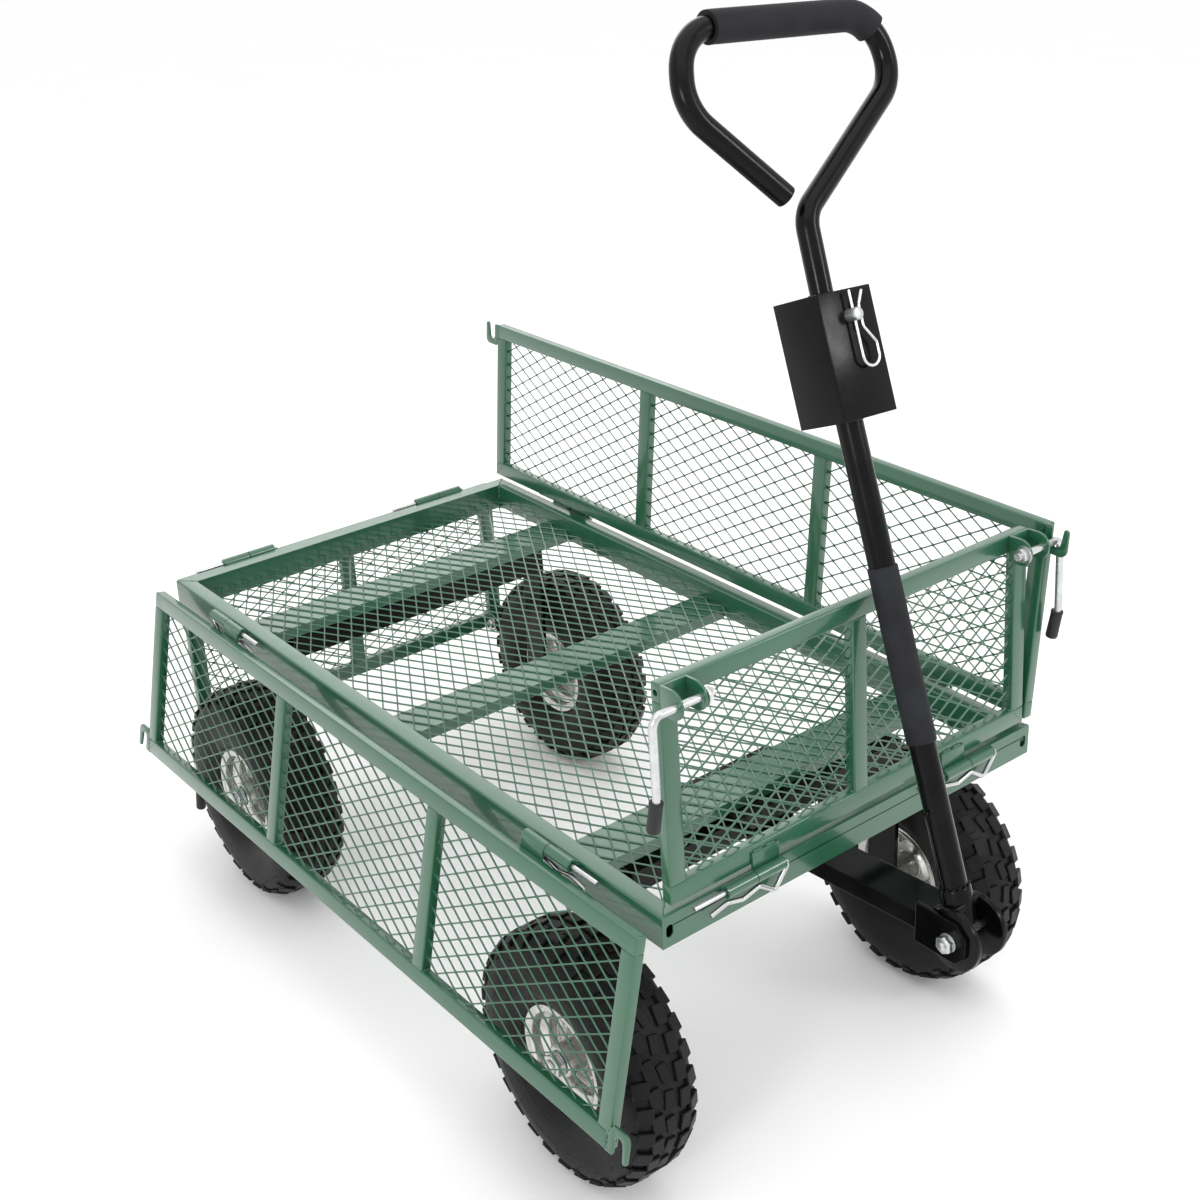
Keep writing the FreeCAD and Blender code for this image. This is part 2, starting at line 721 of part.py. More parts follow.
collar = Part.makeCylinder(12, 6, Vec(frontAxleX, 0, tongueTop - tongueHeight - 7.4 - drop))
keep("kingpin", kingpin.fuse(collar).removeSplitter())

clevisLow = bedHeight - clevisBottom
clevisHigh = bedHeight - clevisTop
cheeks = []
pivot = Vec(handlePivotX, 0, bedHeight - handlePivotDrop)
for sign in (1, -1):
    y = tongueWidth / 2 if sign > 0 else -tongueWidth / 2 - clevisThickness
    cut = clevisChamfer
    outline = [
        (clevisStart, clevisLow), (clevisEnd - cut, clevisLow), (clevisEnd, clevisLow + cut),
        (clevisEnd, clevisHigh - cut), (clevisEnd - cut, clevisHigh), (clevisStart, clevisHigh),
    ]
    corners = [Vec(x, y, z) for x, z in outline]
    plate = Part.Face(Part.makePolygon(corners + corners[:1])).extrude(Vec(0, clevisThickness, 0))
    hole = Part.makeCylinder(clevisBoltDiameter / 2, 200, pivot - Vec(0, 100, 0), Vec(0, 1, 0))
    cheeks.append(plate.cut(hole))
keep("clevis_plates", *cheeks)
outer = tongueWidth / 2 + clevisThickness
bolt = Part.makeCylinder(clevisBoltDiameter / 2, 2 * outer + 16, pivot - Vec(0, outer + 12, 0), Vec(0, 1, 0))
flange = Part.makeCylinder(9.5, 2, pivot - Vec(0, outer + 2, 0), Vec(0, 1, 0))
nut = hexagon(pivot - Vec(0, outer + 9, 0), Vec(0, 1, 0), 16, 7.5)
head = hexagon(pivot + Vec(0, outer, 0), Vec(0, 1, 0), 16, 6.5)
keep("clevis_bolt", fuse([bolt, flange, nut, head]))

# Handle, built along its own Z axis from the pivot, X forward and Y to the left
lean = FreeCAD.Rotation(Vec(0, 1, 0), -handleLean)
side = FreeCAD.Rotation(Vec(1, 0, 0), -handleSideLean)
yokeSpot = FreeCAD.Placement(pivot, lean)
setBack = FreeCAD.Placement(Vec(-handleBack, 0, 0), FreeCAD.Rotation())
handleSpot = FreeCAD.Placement(pivot, lean.multiply(side)).multiply(setBack)


def tubeUp(radius, low, high):
    return Part.makeCylinder(radius, high - low, Vec(0, 0, low))


yokeHalf = tongueWidth / 2 - yokeSideGap
tubeSolid = moved(tubeUp(lowerTube / 2, yokeRadius - 1, 400), handleSpot)
pieces = []
for inner in (-yokeHalf, yokeHalf - yokeThickness):
    pieces.append(Part.makeCylinder(yokeRadius, yokeThickness, Vec(0, inner, 0), Vec(0, 1, 0)))
pieces.append(box(-handleBack - 15, -handleBack + 15, -yokeHalf, yokeHalf, yokeRadius - 10, yokeRadius - 1))
hole = Part.makeCylinder(clevisBoltDiameter / 2 + 0.3, 200, Vec(0, -100, 0), Vec(0, 1, 0))
yoke = fuse(pieces).cut(hole)
socket = moved(tubeUp(lowerTube / 2 + socketWall, socketLow, yokeRadius + socketRise), handleSpot)
keep("handle_yoke", moved(yoke, yokeSpot).fuse(socket).cut(tubeSolid).removeSplitter())

shaft = tubeUp(lowerTube / 2, yokeRadius - 1, boxStart + boxWall)
hollow = tubeUp(lowerTube / 2 - tubeWall, yokeRadius + 3, boxStart + boxWall)
keep("handle_tube", moved(shaft.cut(hollow), handleSpot))
sleeve = tubeUp(lowerTube / 2 + sleeveWall, sleeveStart, sleeveEnd)
sleeveBore = tubeUp(lowerTube / 2, sleeveStart, sleeveEnd)
keep("handle_sleeve", moved(sleeve.cut(sleeveBore), handleSpot))

pinHeight = boxEnd - hitchPinBelow
w = boxWidth / 2
d = boxDepth / 2
shell = [
    box(d - boxWall, d, -w, w, boxStart, boxEnd),
    box(-d, d - boxWall, -w, -w + boxWall, boxStart, boxEnd),
    box(-d, d - boxWall, w - boxWall, w, boxStart, boxEnd),
    box(-d, d - boxWall, -w + boxWall, w - boxWall, boxStart, boxStart + boxWall),
    box(-d, d - boxWall, -w + boxWall, w - boxWall, boxEnd - boxWall, boxEnd),
]
hitch = fuse(shell).cut(tubeUp(lowerTube / 2, boxStart, boxStart + boxWall))
pinSolid = Part.makeCylinder(hitchPinDiameter / 2, 120, Vec(-60, 0, pinHeight), Vec(1, 0, 0))
path = [Vec(0, y, s) for y, s in loopPath]
loopSolid = bentRod(path, list(loopBends), loopTube / 2)
keep("hitch_box", moved(hitch.cut(pinSolid).cut(loopSolid), handleSpot))
bore = bentRod(path, list(loopBends), loopTube / 2 - tubeWall)
keep("handle_loop", moved(loopSolid.cut(bore).cut(pinSolid), handleSpot))
gripRow = loopPath[3][1]
gripEnd = loopPath[3][0] - loopBends[2]
gripLow = Vec(0, gripFoamStart, gripRow)
ring = Part.makeCylinder(loopTube / 2 + gripWall, gripEnd - gripFoamStart, gripLow, Vec(0, 1, 0))
hole = Part.makeCylinder(loopTube / 2, gripEnd - gripFoamStart, gripLow, Vec(0, 1, 0))
keep("handle_grip", moved(ring.cut(hole), handleSpot))

clipPlane = d + 6
back = -loopTube / 2 - 3
pin = Part.makeCylinder(hitchPinDiameter / 2, clipPlane + 7 - back, Vec(back, 0, pinHeight), Vec(1, 0, 0))
cap = Part.makeCylinder(hitchPinDiameter / 2 + 3, 4, Vec(back - 3, 0, pinHeight), Vec(1, 0, 0))
clipHole = Part.makeCylinder(clipWire / 2 + 0.3, 40, Vec(clipPlane, 0, pinHeight - 20))
keep("hitch_pin", moved(pin.fuse(cap).removeSplitter().cut(clipHole), handleSpot))
beside = hitchPinDiameter / 2 + clipWire / 2 + 0.6
low = pinHeight + 22 - clipLength
across = 2 * clipLoop
outline = [
    (0, pinHeight + 22), (0, low), (across, low), (across, low + 20),
    (beside, low + 36), (beside, pinHeight + 8), (beside + 7, pinHeight + 20),
]
path = [Vec(clipPlane, y, s) for y, s in outline]
clip = bentRod(path, [clipLoop - 0.05, clipLoop - 0.05, 5, 5, 5], clipWire / 2)
keep("r_clip", moved(clip, handleSpot))

# The origin is on the floor, under the middle of everything
whole = FreeCAD.BoundBox()
for shape in nodes.values():
    whole.add(shape.optimalBoundingBox(False, False))
shift = Vec(-(whole.XMin + whole.XMax) / 2, -(whole.YMin + whole.YMax) / 2, -whole.ZMin)
for name, shape in nodes.items():
    shape.translate(shift)
    shape.exportStep("parts/" + name + ".step")
print(len(nodes), "parts, moved by", shift.x, shift.y, shift.z)
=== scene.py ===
import bpy
import bmesh
import json
import math
import random
from mathutils import Matrix, Vector


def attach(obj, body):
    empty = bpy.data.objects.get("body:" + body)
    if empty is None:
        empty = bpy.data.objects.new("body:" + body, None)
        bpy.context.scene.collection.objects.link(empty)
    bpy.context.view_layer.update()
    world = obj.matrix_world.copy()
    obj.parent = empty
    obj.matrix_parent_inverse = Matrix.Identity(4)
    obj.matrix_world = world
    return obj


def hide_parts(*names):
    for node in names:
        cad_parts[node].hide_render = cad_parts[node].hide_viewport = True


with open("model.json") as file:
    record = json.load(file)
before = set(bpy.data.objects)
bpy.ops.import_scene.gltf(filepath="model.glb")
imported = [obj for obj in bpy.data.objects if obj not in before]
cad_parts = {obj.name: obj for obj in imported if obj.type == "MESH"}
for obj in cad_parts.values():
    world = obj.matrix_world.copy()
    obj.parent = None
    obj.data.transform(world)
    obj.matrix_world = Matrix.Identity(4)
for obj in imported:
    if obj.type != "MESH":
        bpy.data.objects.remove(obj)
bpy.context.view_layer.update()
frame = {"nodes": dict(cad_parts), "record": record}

record = frame["record"]
joints = {joint["name"]: joint for joint in record["behaviour"]["joints"]}
nodes = frame["nodes"]
mm = 0.001
dice = random.Random(11)

# Where the cart stands in the frame: its own zero is under the middle of the bed
steerPoint = joints["steering_turn"]["pos_m"]
cartZero = Vector((steerPoint[0] - 337 * mm, steerPoint[1], 0))
bedTop = 372 * mm
print("frame loaded, cart zero at", tuple(round(v, 4) for v in cartZero))


# Materials

class Link:
    # one output of a node, so that sums on it add Math nodes
    def __init__(self, recipe, socket):
        self.recipe = recipe
        self.socket = socket

    def sum(self, operation, first, second):
        return self.recipe.node("ShaderNodeMath", {"operation": operation}, {0: first, 1: second})

    def __add__(self, other):
        return self.sum("ADD", self, other)

    def __radd__(self, other):
        return self.sum("ADD", other, self)

    def __sub__(self, other):
        return self.sum("SUBTRACT", self, other)

    def __rsub__(self, other):
        return self.sum("SUBTRACT", other, self)

    def __mul__(self, other):
        return self.sum("MULTIPLY", self, other)

    def __rmul__(self, other):
        return self.sum("MULTIPLY", other, self)


class Recipe:
    # a material with one Principled shader on Object coordinates
    def __init__(self, name):
        self.material = bpy.data.materials.new(name)
        self.material.use_nodes = True
        self.tree = self.material.node_tree
        self.tree.nodes.clear()
        self.shader = self.tree.nodes.new("ShaderNodeBsdfPrincipled")
        output = self.tree.nodes.new("ShaderNodeOutputMaterial")
        self.tree.links.new(self.shader.outputs[0], output.inputs[0])
        self.place = self.node("ShaderNodeTexCoord", output="Object")

    def node(self, kind, settings=None, values=None, output=0):
        made = self.tree.nodes.new(kind)
        for key, value in (settings or {}).items():
            if key == "stops":
                self.setStops(made.color_ramp, value)
            else:
                setattr(made, key, value)
        for key, value in (values or {}).items():
            self.feed(made.inputs[key], value)
        return Link(self, made.outputs[output])

    def setStops(self, ramp, stops):
        while len(ramp.elements) < len(stops):
            ramp.elements.new(0.5)
        for element, (spot, shade) in zip(ramp.elements, stops):
            element.position = spot
            element.color = (shade, shade, shade, 1)

    def feed(self, socket, value):
        if isinstance(value, Link):
            self.tree.links.new(value.socket, socket)
        else:
            socket.default_value = value

    def noise(self, scale, detail=3.0, roughness=0.5, place=None):
        values = {"Vector": place or self.place, "Scale": scale, "Detail": detail, "Roughness": roughness}
        return self.node("ShaderNodeTexNoise", None, values)

    def band(self, value, low, high):
        return self.node("ShaderNodeMapRange", None, {0: value, 1: low, 2: high, 3: 0.0, 4: 1.0})

    def mix(self, share, first, second):
        values = {0: share, 6: (*first, 1) if isinstance(first, tuple) else first,
                  7: (*second, 1) if isinstance(second, tuple) else second}
        return self.node("ShaderNodeMix", {"data_type": "RGBA"}, values, output=2)

    def bump(self, height, strength, distance):
        values = {"Strength": strength, "Distance": distance, "Height": height}
        return self.node("ShaderNodeBump", None, values)

    def surface(self, **values):
        for key, value in values.items():
            self.feed(self.shader.inputs[key.replace("_", " ")], value)
        return self.material


# the paler green in this entry is painted on upward faces as a top sheen
greenSettings = {"colour": (0.012, 0.083, 0.040), "worn": (0.018, 0.104, 0.052), "dust_and_sheen": (0.05, 0.14, 0.09),
                 "roughness": 0.24, "peel": 0.05}


def greenPaint():
    paint = Recipe("green powder coat")
    cloud = paint.band(paint.noise(9.0, 4.0, 0.6), 0.35, 0.7)
    speck = paint.band(paint.noise(420.0, 2.0), 0.62, 0.74)
    colour = paint.mix(cloud * 0.6, greenSettings["colour"], greenSettings["worn"])
    facing = paint.node("ShaderNodeNewGeometry", output="Normal")
    up = paint.node("ShaderNodeSeparateXYZ", None, {0: facing}, output=2)
    # upward faces get a paler green, broken up by noise: a painted top sheen; the same mask also makes them
    # rougher, as dust would
    dust_and_sheen = paint.band(up, 0.55, 1.0) * paint.band(paint.noise(38.0, 5.0, 0.65), 0.42, 0.8)
    colour = paint.mix(dust_and_sheen * 0.28 + speck * 0.08, colour, greenSettings["dust_and_sheen"])
    rough = greenSettings["roughness"] + paint.noise(60.0, 3.0) * 0.14 + dust_and_sheen * 0.18
    peel = paint.noise(900.0, 2.0) + paint.noise(240.0, 2.0) * 0.8
    normal = paint.bump(peel, greenSettings["peel"], 0.0006)
    return paint.surface(Base_Color=colour, Roughness=rough, Normal=normal,
                         Coat_Weight=0.7, Coat_Roughness=0.1)


blackSettings = {"colour": (0.0015, 0.0015, 0.0017), "haze": (0.006, 0.006, 0.0065), "roughness": 0.12}


def blackPaint():
    paint = Recipe("gloss black coat")
    haze = paint.band(paint.noise(26.0, 5.0, 0.65), 0.48, 0.8)
    speck = paint.band(paint.noise(620.0, 2.0), 0.66, 0.76)
    colour = paint.mix(haze * 0.5 + speck * 0.25, blackSettings["colour"], blackSettings["haze"])
    rough = blackSettings["roughness"] + paint.noise(45.0, 4.0) * 0.14 + haze * 0.12
    normal = paint.bump(paint.noise(520.0, 2.0) + paint.noise(130.0, 2.0), 0.06, 0.0006)
    return paint.surface(Base_Color=colour, Roughness=rough, Normal=normal, Specular_IOR_Level=0.15)


def zincPlate(name, bright, dull, roughness):
    plate = Recipe(name)
    patch = plate.band(plate.noise(55.0, 5.0, 0.6), 0.35, 0.72)
    grain = plate.noise(1400.0, 2.0)
    colour = plate.mix(patch, bright, dull)
    rough = roughness + patch * 0.12 + grain * 0.08
    normal = plate.bump(grain + plate.noise(180.0, 3.0) * 0.6, 0.08, 0.0004)
    return plate.surface(Base_Color=colour, Metallic=0.96, Roughness=rough, Normal=normal)


tyreSettings = {"colour": (0.0035, 0.0035, 0.0038), "dusty": (0.013, 0.0125, 0.012), "roughness": 0.40}


def tyreRubber():
    rubber = Recipe("tyre rubber")
    cloud = rubber.band(rubber.noise(14.0, 5.0, 0.62), 0.4, 0.75)
    bloom = rubber.band(rubber.noise(160.0, 4.0, 0.6), 0.5, 0.8)
    colour = rubber.mix(cloud * 0.45 + bloom * 0.3, tyreSettings["colour"], tyreSettings["dusty"])
    rough = tyreSettings["roughness"] + cloud * 0.16 + bloom * 0.12
    normal = rubber.bump(rubber.noise(700.0, 3.0) + rubber.noise(150.0, 3.0) * 0.8, 0.22, 0.0008)
    return rubber.surface(Base_Color=colour, Roughness=rough, Normal=normal, Specular_IOR_Level=0.16)


def softFoam():
    foam = Recipe("foam sleeve")
    cells = foam.node("ShaderNodeTexVoronoi", {"feature": "SMOOTH_F1"},
                      {"Vector": foam.place, "Scale": 900.0})
    cloud = foam.band(foam.noise(30.0, 4.0), 0.35, 0.75)
    colour = foam.mix(cloud, (0.007, 0.007, 0.009), (0.018, 0.019, 0.023))
    rough = 0.62 + cloud * 0.16
    normal = foam.bump(cells * 0.7 + foam.noise(260.0, 3.0), 0.35, 0.0007)
    return foam.surface(Base_Color=colour, Roughness=rough, Normal=normal, Specular_IOR_Level=0.2)


def gripRubber():
    rubber = Recipe("lever grip rubber")
    cloud = rubber.noise(90.0, 4.0)
    colour = rubber.mix(cloud, (0.008, 0.008, 0.009), (0.022, 0.021, 0.021))
    normal = rubber.bump(rubber.noise(800.0, 2.0), 0.2, 0.0005)
    rough = 0.42 + cloud * 0.15
    return rubber.surface(Base_Color=colour, Roughness=rough, Normal=normal, Specular_IOR_Level=0.3)


green = greenPaint()
black = blackPaint()
zinc = zincPlate("bright zinc", (0.62, 0.63, 0.63), (0.46, 0.47, 0.48), 0.18)
rimZinc = zincPlate("rim zinc", (0.64, 0.63, 0.60), (0.48, 0.475, 0.455), 0.15)
rubber = tyreRubber()
foam = softFoam()
leverRubber = gripRubber()
print("materials made")


# Shared modelling steps

def roundEdges(bm, edges, offset, segments=2):
    bmesh.ops.bevel(bm, geom=list(edges), offset=offset, segments=segments, profile=0.5,
                    affect="EDGES", material=-1)


def addBlock(bm, low, high, radius=0.0, segments=2):
    low, high = Vector(low), Vector(high)
    matrix = Matrix.Translation((low + high) / 2) @ Matrix.Diagonal((high - low).to_4d())
    verts = bmesh.ops.create_cube(bm, size=1.0, matrix=matrix)["verts"]
    if radius:
        roundEdges(bm, {edge for vert in verts for edge in vert.link_edges}, radius, segments)


def absorb(bm, part, place=None):
    # moves a finished part into a bigger bmesh
    if place:
        bmesh.ops.transform(part, matrix=place, verts=part.verts)
    mesh = bpy.data.meshes.new("part")
    part.to_mesh(mesh)
    part.free()
    bm.from_mesh(mesh)
    bpy.data.meshes.remove(mesh)


def addRod(bm, start, end, radius, segments=24, bevel=0.0, tip=None):
    start, end = Vector(start), Vector(end)
    way = end - start
    matrix = Matrix.Translation((start + end) / 2) @ way.to_track_quat("Z", "Y").to_matrix().to_4x4()
    tip = radius if tip is None else tip
    verts = bmesh.ops.create_cone(bm, cap_ends=True, cap_tris=False, segments=segments, radius1=radius,
                                  radius2=tip, depth=way.length, matrix=matrix)["verts"]
    if bevel:
        caps = {face for vert in verts for face in vert.link_faces if len(face.verts) == segments}
        roundEdges(bm, {edge for face in caps for edge in face.edges}, bevel)


def addTurned(bm, outline, steps, place=None, closed=True):
    # spins an outline of (radius, along) about Y
    part = bmesh.new()
    verts = [part.verts.new((radius, along, 0)) for radius, along in outline]
    edges = [part.edges.new(pair) for pair in zip(verts, verts[1:])]
    if closed:
        edges.append(part.edges.new((verts[-1], verts[0])))
    bmesh.ops.spin(part, geom=verts + edges, cent=(0, 0, 0), axis=(0, 1, 0), dvec=(0, 0, 0),
                   angle=2 * math.pi, steps=steps, use_merge=True, use_duplicate=False)
    bmesh.ops.remove_doubles(part, verts=part.verts, dist=1e-6)
    absorb(bm, part, place)


def cutAway(part, spot, away):
    # drops what lies past a plane
    everything = part.verts[:] + part.edges[:] + part.faces[:]
    bmesh.ops.bisect_plane(part, geom=everything, dist=1e-7, plane_co=spot, plane_no=away, clear_outer=True)


def closeCuts(part):
    bmesh.ops.holes_fill(part, edges=[edge for edge in part.edges if edge.is_boundary], sides=0)


def vertsOf(items):
    return [item for item in items if isinstance(item, bmesh.types.BMVert)]


def drilled(part, start, end, radius):
    # the same block with a round hole in it
    tool = bmesh.new()
    addRod(tool, start, end, radius, 24)
    pair = []
    for source in (part, tool):
        mesh = bpy.data.meshes.new("drill")
        source.to_mesh(mesh)
        source.free()
        pair.append(bpy.data.objects.new("drill", mesh))
        bpy.context.collection.objects.link(pair[-1])
    modifier = pair[0].modifiers.new("hole", "BOOLEAN")
    modifier.operation = "DIFFERENCE"
    modifier.object = pair[1]
    graph = bpy.context.evaluated_depsgraph_get()
    result = bpy.data.meshes.new_from_object(pair[0].evaluated_get(graph))
    out = bmesh.new()
    out.from_mesh(result)
    bpy.data.meshes.remove(result)
    for holder in pair:
        bpy.data.meshes.remove(holder.data)
    return out


def softened(points, bends, steps=6):
    # a route with an arc at each inner point
    points = [Vector(point) for point in points]
    route = [points[0]]
    for before, here, after, bend in zip(points, points[1:], points[2:], bends):
        back, ahead = (before - here).normalized(), (after - here).normalized()
        half = back.angle(ahead) / 2
        reach = bend / math.tan(half)
        middle = here + (back + ahead).normalized() * (bend / math.sin(half))
        first, last = here + back * reach - middle, here + ahead * reach - middle
        for k in range(steps + 1):
            route.append(middle + first.slerp(last, k / steps).normalized() * bend)
    return route + [points[-1]]


def addWire(bm, route, radius, sides=3):
    # a round wire swept along a route, with closed ends
    curve = bpy.data.curves.new("wire", "CURVE")
    curve.dimensions = "3D"
    curve.bevel_depth = radius
    curve.bevel_resolution = sides
    curve.use_fill_caps = True
    spline = curve.splines.new("POLY")
    spline.points.add(len(route) - 1)
    for point, spot in zip(spline.points, route):
        point.co = (*spot, 1)
    holder = bpy.data.objects.new("wire", curve)
    mesh = bpy.data.meshes.new_from_object(holder)
    bm.from_mesh(mesh)
    bpy.data.objects.remove(holder)
    bpy.data.meshes.remove(mesh)
    bpy.data.curves.remove(curve)


def addWeld(bm, start, end, size):
    # a run of small overlapping lumps
    start, end = Vector(start), Vector(end)
    count = max(2, int((end - start).length / (size * 0.75)))
    for k in range(count + 1):
        grow = size * dice.uniform(0.8, 1.15)
        spot = start.lerp(end, k / count)
        matrix = Matrix.Translation(spot) @ Matrix.Diagonal((grow, grow, grow, 1))
        bmesh.ops.create_icosphere(bm, subdivisions=2, radius=1.0, matrix=matrix)


def addRingWeld(bm, radius, height, count, size, most):
    # lumps round a tube that stands along Z
    for k in range(count):
        angle = 2 * math.pi * k / count
        spot = (radius * math.cos(angle), radius * math.sin(angle), height)
        grow = size * dice.uniform(0.8, most)
        bmesh.ops.create_icosphere(bm, subdivisions=2, radius=grow, matrix=Matrix.Translation(spot))


def addNut(bm, start, way, across, height, washer=0.0, bolt=0.0, past=0.0):
    # a hexagon nut with a turned chamfer, a washer under it and the bolt's end
    start, way = Vector(start), Vector(way).normalized()
    if washer:
        addRod(bm, start, start + way * 1.4 * mm, washer, 28, 0.3 * mm)
    base = start + way * (1.4 * mm if washer else 0)
    addRod(bm, base, base + way * height, across / math.sqrt(3), 6, 0.5 * mm)
    addRod(bm, base, base + way * (height + 0.35 * mm), across * 0.44, 24, 0.2 * mm)
    if bolt:
        tip = base + way * (height + past)
        addRod(bm, base, tip, bolt * 0.86, 20, 0.5 * mm)
        pitch = 1.25 * mm
        for k in range(int(past / pitch)):
            ring = base + way * (height + pitch * (k + 0.3))
            addRod(bm, ring, ring + way * pitch * 0.5, bolt, 20, 0.25 * mm)


def addPlate(bm, outline, thickness, bevel, place):
    # a flat plate from an outline in X and Y, with softened edges
    part = bmesh.new()
    face = part.faces.new([part.verts.new((x, y, 0)) for x, y in outline])
    pushed = bmesh.ops.extrude_face_region(part, geom=[face])["geom"]
    bmesh.ops.translate(part, vec=(0, 0, thickness), verts=vertsOf(pushed))
    bmesh.ops.recalc_face_normals(part, faces=part.faces)
    roundEdges(part, [edge for edge in part.edges if edge.calc_face_angle(0) > math.radians(50)], bevel)
    absorb(bm, part, place)


def makePiece(name, bm, material, body, replaced=(), place=None, sharp=32):
    if place:
        bmesh.ops.transform(bm, matrix=place, verts=bm.verts)
    bmesh.ops.recalc_face_normals(bm, faces=bm.faces)
    mesh = bpy.data.meshes.new(name)
    bm.to_mesh(mesh)
    bm.free()
    mesh.polygons.foreach_set("use_smooth", [True] * len(mesh.polygons))
    mesh.set_sharp_from_angle(angle=math.radians(sharp))
    mesh.materials.append(material)
    piece = bpy.data.objects.new(name, mesh)
    bpy.context.collection.objects.link(piece)
    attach(piece, body)
    if replaced:
        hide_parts(*replaced)
    return piece


def finishCad(name, material, bevel=0.0):
    # a CAD node that keeps its shape, with its edges softened
    piece = nodes[name]
    piece.data.materials.clear()
    piece.data.materials.append(material)
    if bevel:
        weld = piece.modifiers.new("join", "WELD")
        weld.merge_threshold = 0.00002
        soften = piece.modifiers.new("soften", "BEVEL")
        soften.width = bevel
        soften.segments = 2
        soften.limit_method = "ANGLE"
        soften.angle_limit = math.radians(40)


def arc(centre, radius, first, last, steps):
    turn = [math.radians(first + (last - first) * k / steps) for k in range(steps + 1)]
    return [(centre[0] + radius * math.cos(a), centre[1] + radius * math.sin(a)) for a in turn]


# Expanded mesh

meshSettings = {"long": 32 * mm, "short": 18.8 * mm, "width": 1.75 * mm, "thick": 1.0 * mm,
                "tilt": 26, "bond": 2.6 * mm}


def addExpanded(bm, low, high, place):
    # zigzag strands side by side that meet at their bonds, cut to a window in X and Y
    part = bmesh.new()
    stepX, stepY = meshSettings["long"] / 2, meshSettings["short"] / 2
    half, thick = meshSettings["width"] / 2, meshSettings["thick"] / 2
    turn = Matrix.Rotation(math.radians(meshSettings["tilt"]), 3, "X")
    middle = (Vector((*low, 0)) + Vector((*high, 0))) / 2
    columns = int((high[0] - low[0]) / stepX) // 2 + 2
    rows = int((high[1] - low[1]) / stepY) // 2 + 2
    swing = stepY / 2 - half * 0.86
    startX = middle.x - columns * stepX
    ring = [part.verts.new(Vector((startX, 0, 0)) + turn @ Vector((0, y, z)))
            for y, z in ((-half, -thick), (half, -thick), (half, thick), (-half, thick))]
    edges = [part.edges.new((ring[k], ring[(k + 1) % 4])) for k in range(4)]
    at = Vector((startX, 0, 0))
    for k in range(2 * columns + 1):
        height = swing if k % 2 else -swing
        for x in (-meshSettings["bond"] / 2, meshSettings["bond"] / 2):
            target = Vector((startX + k * stepX + x, height, 0))
            pushed = bmesh.ops.extrude_edge_only(part, edges=edges)["geom"]
            edges = [item for item in pushed if isinstance(item, bmesh.types.BMEdge)]
            bmesh.ops.translate(part, vec=target - at, verts=vertsOf(pushed))
            at = target
    strand = part.verts[:] + part.edges[:] + part.faces[:]
    for row in range(-rows, rows + 1):
        copied = bmesh.ops.duplicate(part, geom=strand)["geom"]
        shift = Vector((stepX * (row % 2), middle.y + (row + 0.5) * stepY, 0))
        bmesh.ops.translate(part, vec=shift, verts=vertsOf(copied))
    bmesh.ops.delete(part, geom=vertsOf(strand), context="VERTS")
    for spot, away in (((low[0], 0, 0), (-1, 0, 0)), ((high[0], 0, 0), (1, 0, 0)),
                       ((0, low[1], 0), (0, -1, 0)), ((0, high[1], 0), (0, 1, 0))):
        cutAway(part, spot, away)
    closeCuts(part)
    absorb(bm, part, place)


# Bed

bedSettings = {"length": 952 * mm, "width": 508 * mm, "rail": 20 * mm, "height": 34 * mm,
               "floorDrop": 21 * mm, "corner": 2.2 * mm, "overlap": 0.4 * mm}
halfLength = bedSettings["length"] / 2
halfWidth = bedSettings["width"] / 2
onCart = Matrix.Translation(cartZero)


def addMitred(bm, side, low):
    # one side rail, cut at 45 degrees where it meets the end rails
    part = bmesh.new()
    edges = sorted((side * halfWidth, side * (halfWidth - bedSettings["rail"])))
    reach = halfLength + 9 * mm
    addBlock(part, (-reach, edges[0], low), (reach, edges[1], bedTop), bedSettings["corner"], 3)
    for end in (1, -1):
        cutAway(part, (end * halfLength, side * halfWidth, 0), (end, -side, 0))
    closeCuts(part)
    absorb(bm, part)


def buildBed():
    rail, low = bedSettings["rail"], bedTop - bedSettings["height"]
    bm = bmesh.new()
    for side in (1, -1):
        addMitred(bm, side, low)
    makePiece("side_rails", bm, green, "bed", ["bed_side_rails"], onCart)
    bm = bmesh.new()
    for end in (1, -1):
        for side in (1, -1):
            outer = Vector((end * (halfLength - 2 * mm), side * (halfWidth - 2 * mm), bedTop - 0.9 * mm))
            inner = Vector((end * (halfLength - rail), side * (halfWidth - rail), bedTop - 0.9 * mm))
            addWeld(bm, outer, inner, 1.5 * mm)
            addWeld(bm, inner + Vector((0, 0, -3 * mm)), inner + Vector((0, 0, -18 * mm)), 2.2 * mm)
    makePiece("bed_corner_welds", bm, green, "bed", (), onCart)
    bm = bmesh.new()
    flat = Matrix.Translation((0, 0, bedTop - bedSettings["floorDrop"] - meshSettings["thick"] / 2))
    over = bedSettings["overlap"]
    window = (halfLength - rail + over, halfWidth - rail + over)
    addExpanded(bm, (-window[0], -window[1]), window, flat)
    makePiece("floor_mesh", bm, green, "bed", ["bed_floor_mesh"], onCart, 25)
    for name in ("bed_front_rail", "bed_rear_rail"):
        finishCad(name, green, 1.6 * mm)
    finishCad("bed_cross_members", green, 1.2 * mm)
    finishCad("steering_bolster", black, 0.6 * mm)


# Folding panels, each built upright round its hinge line: X along the hinge, Y outwards and Z up

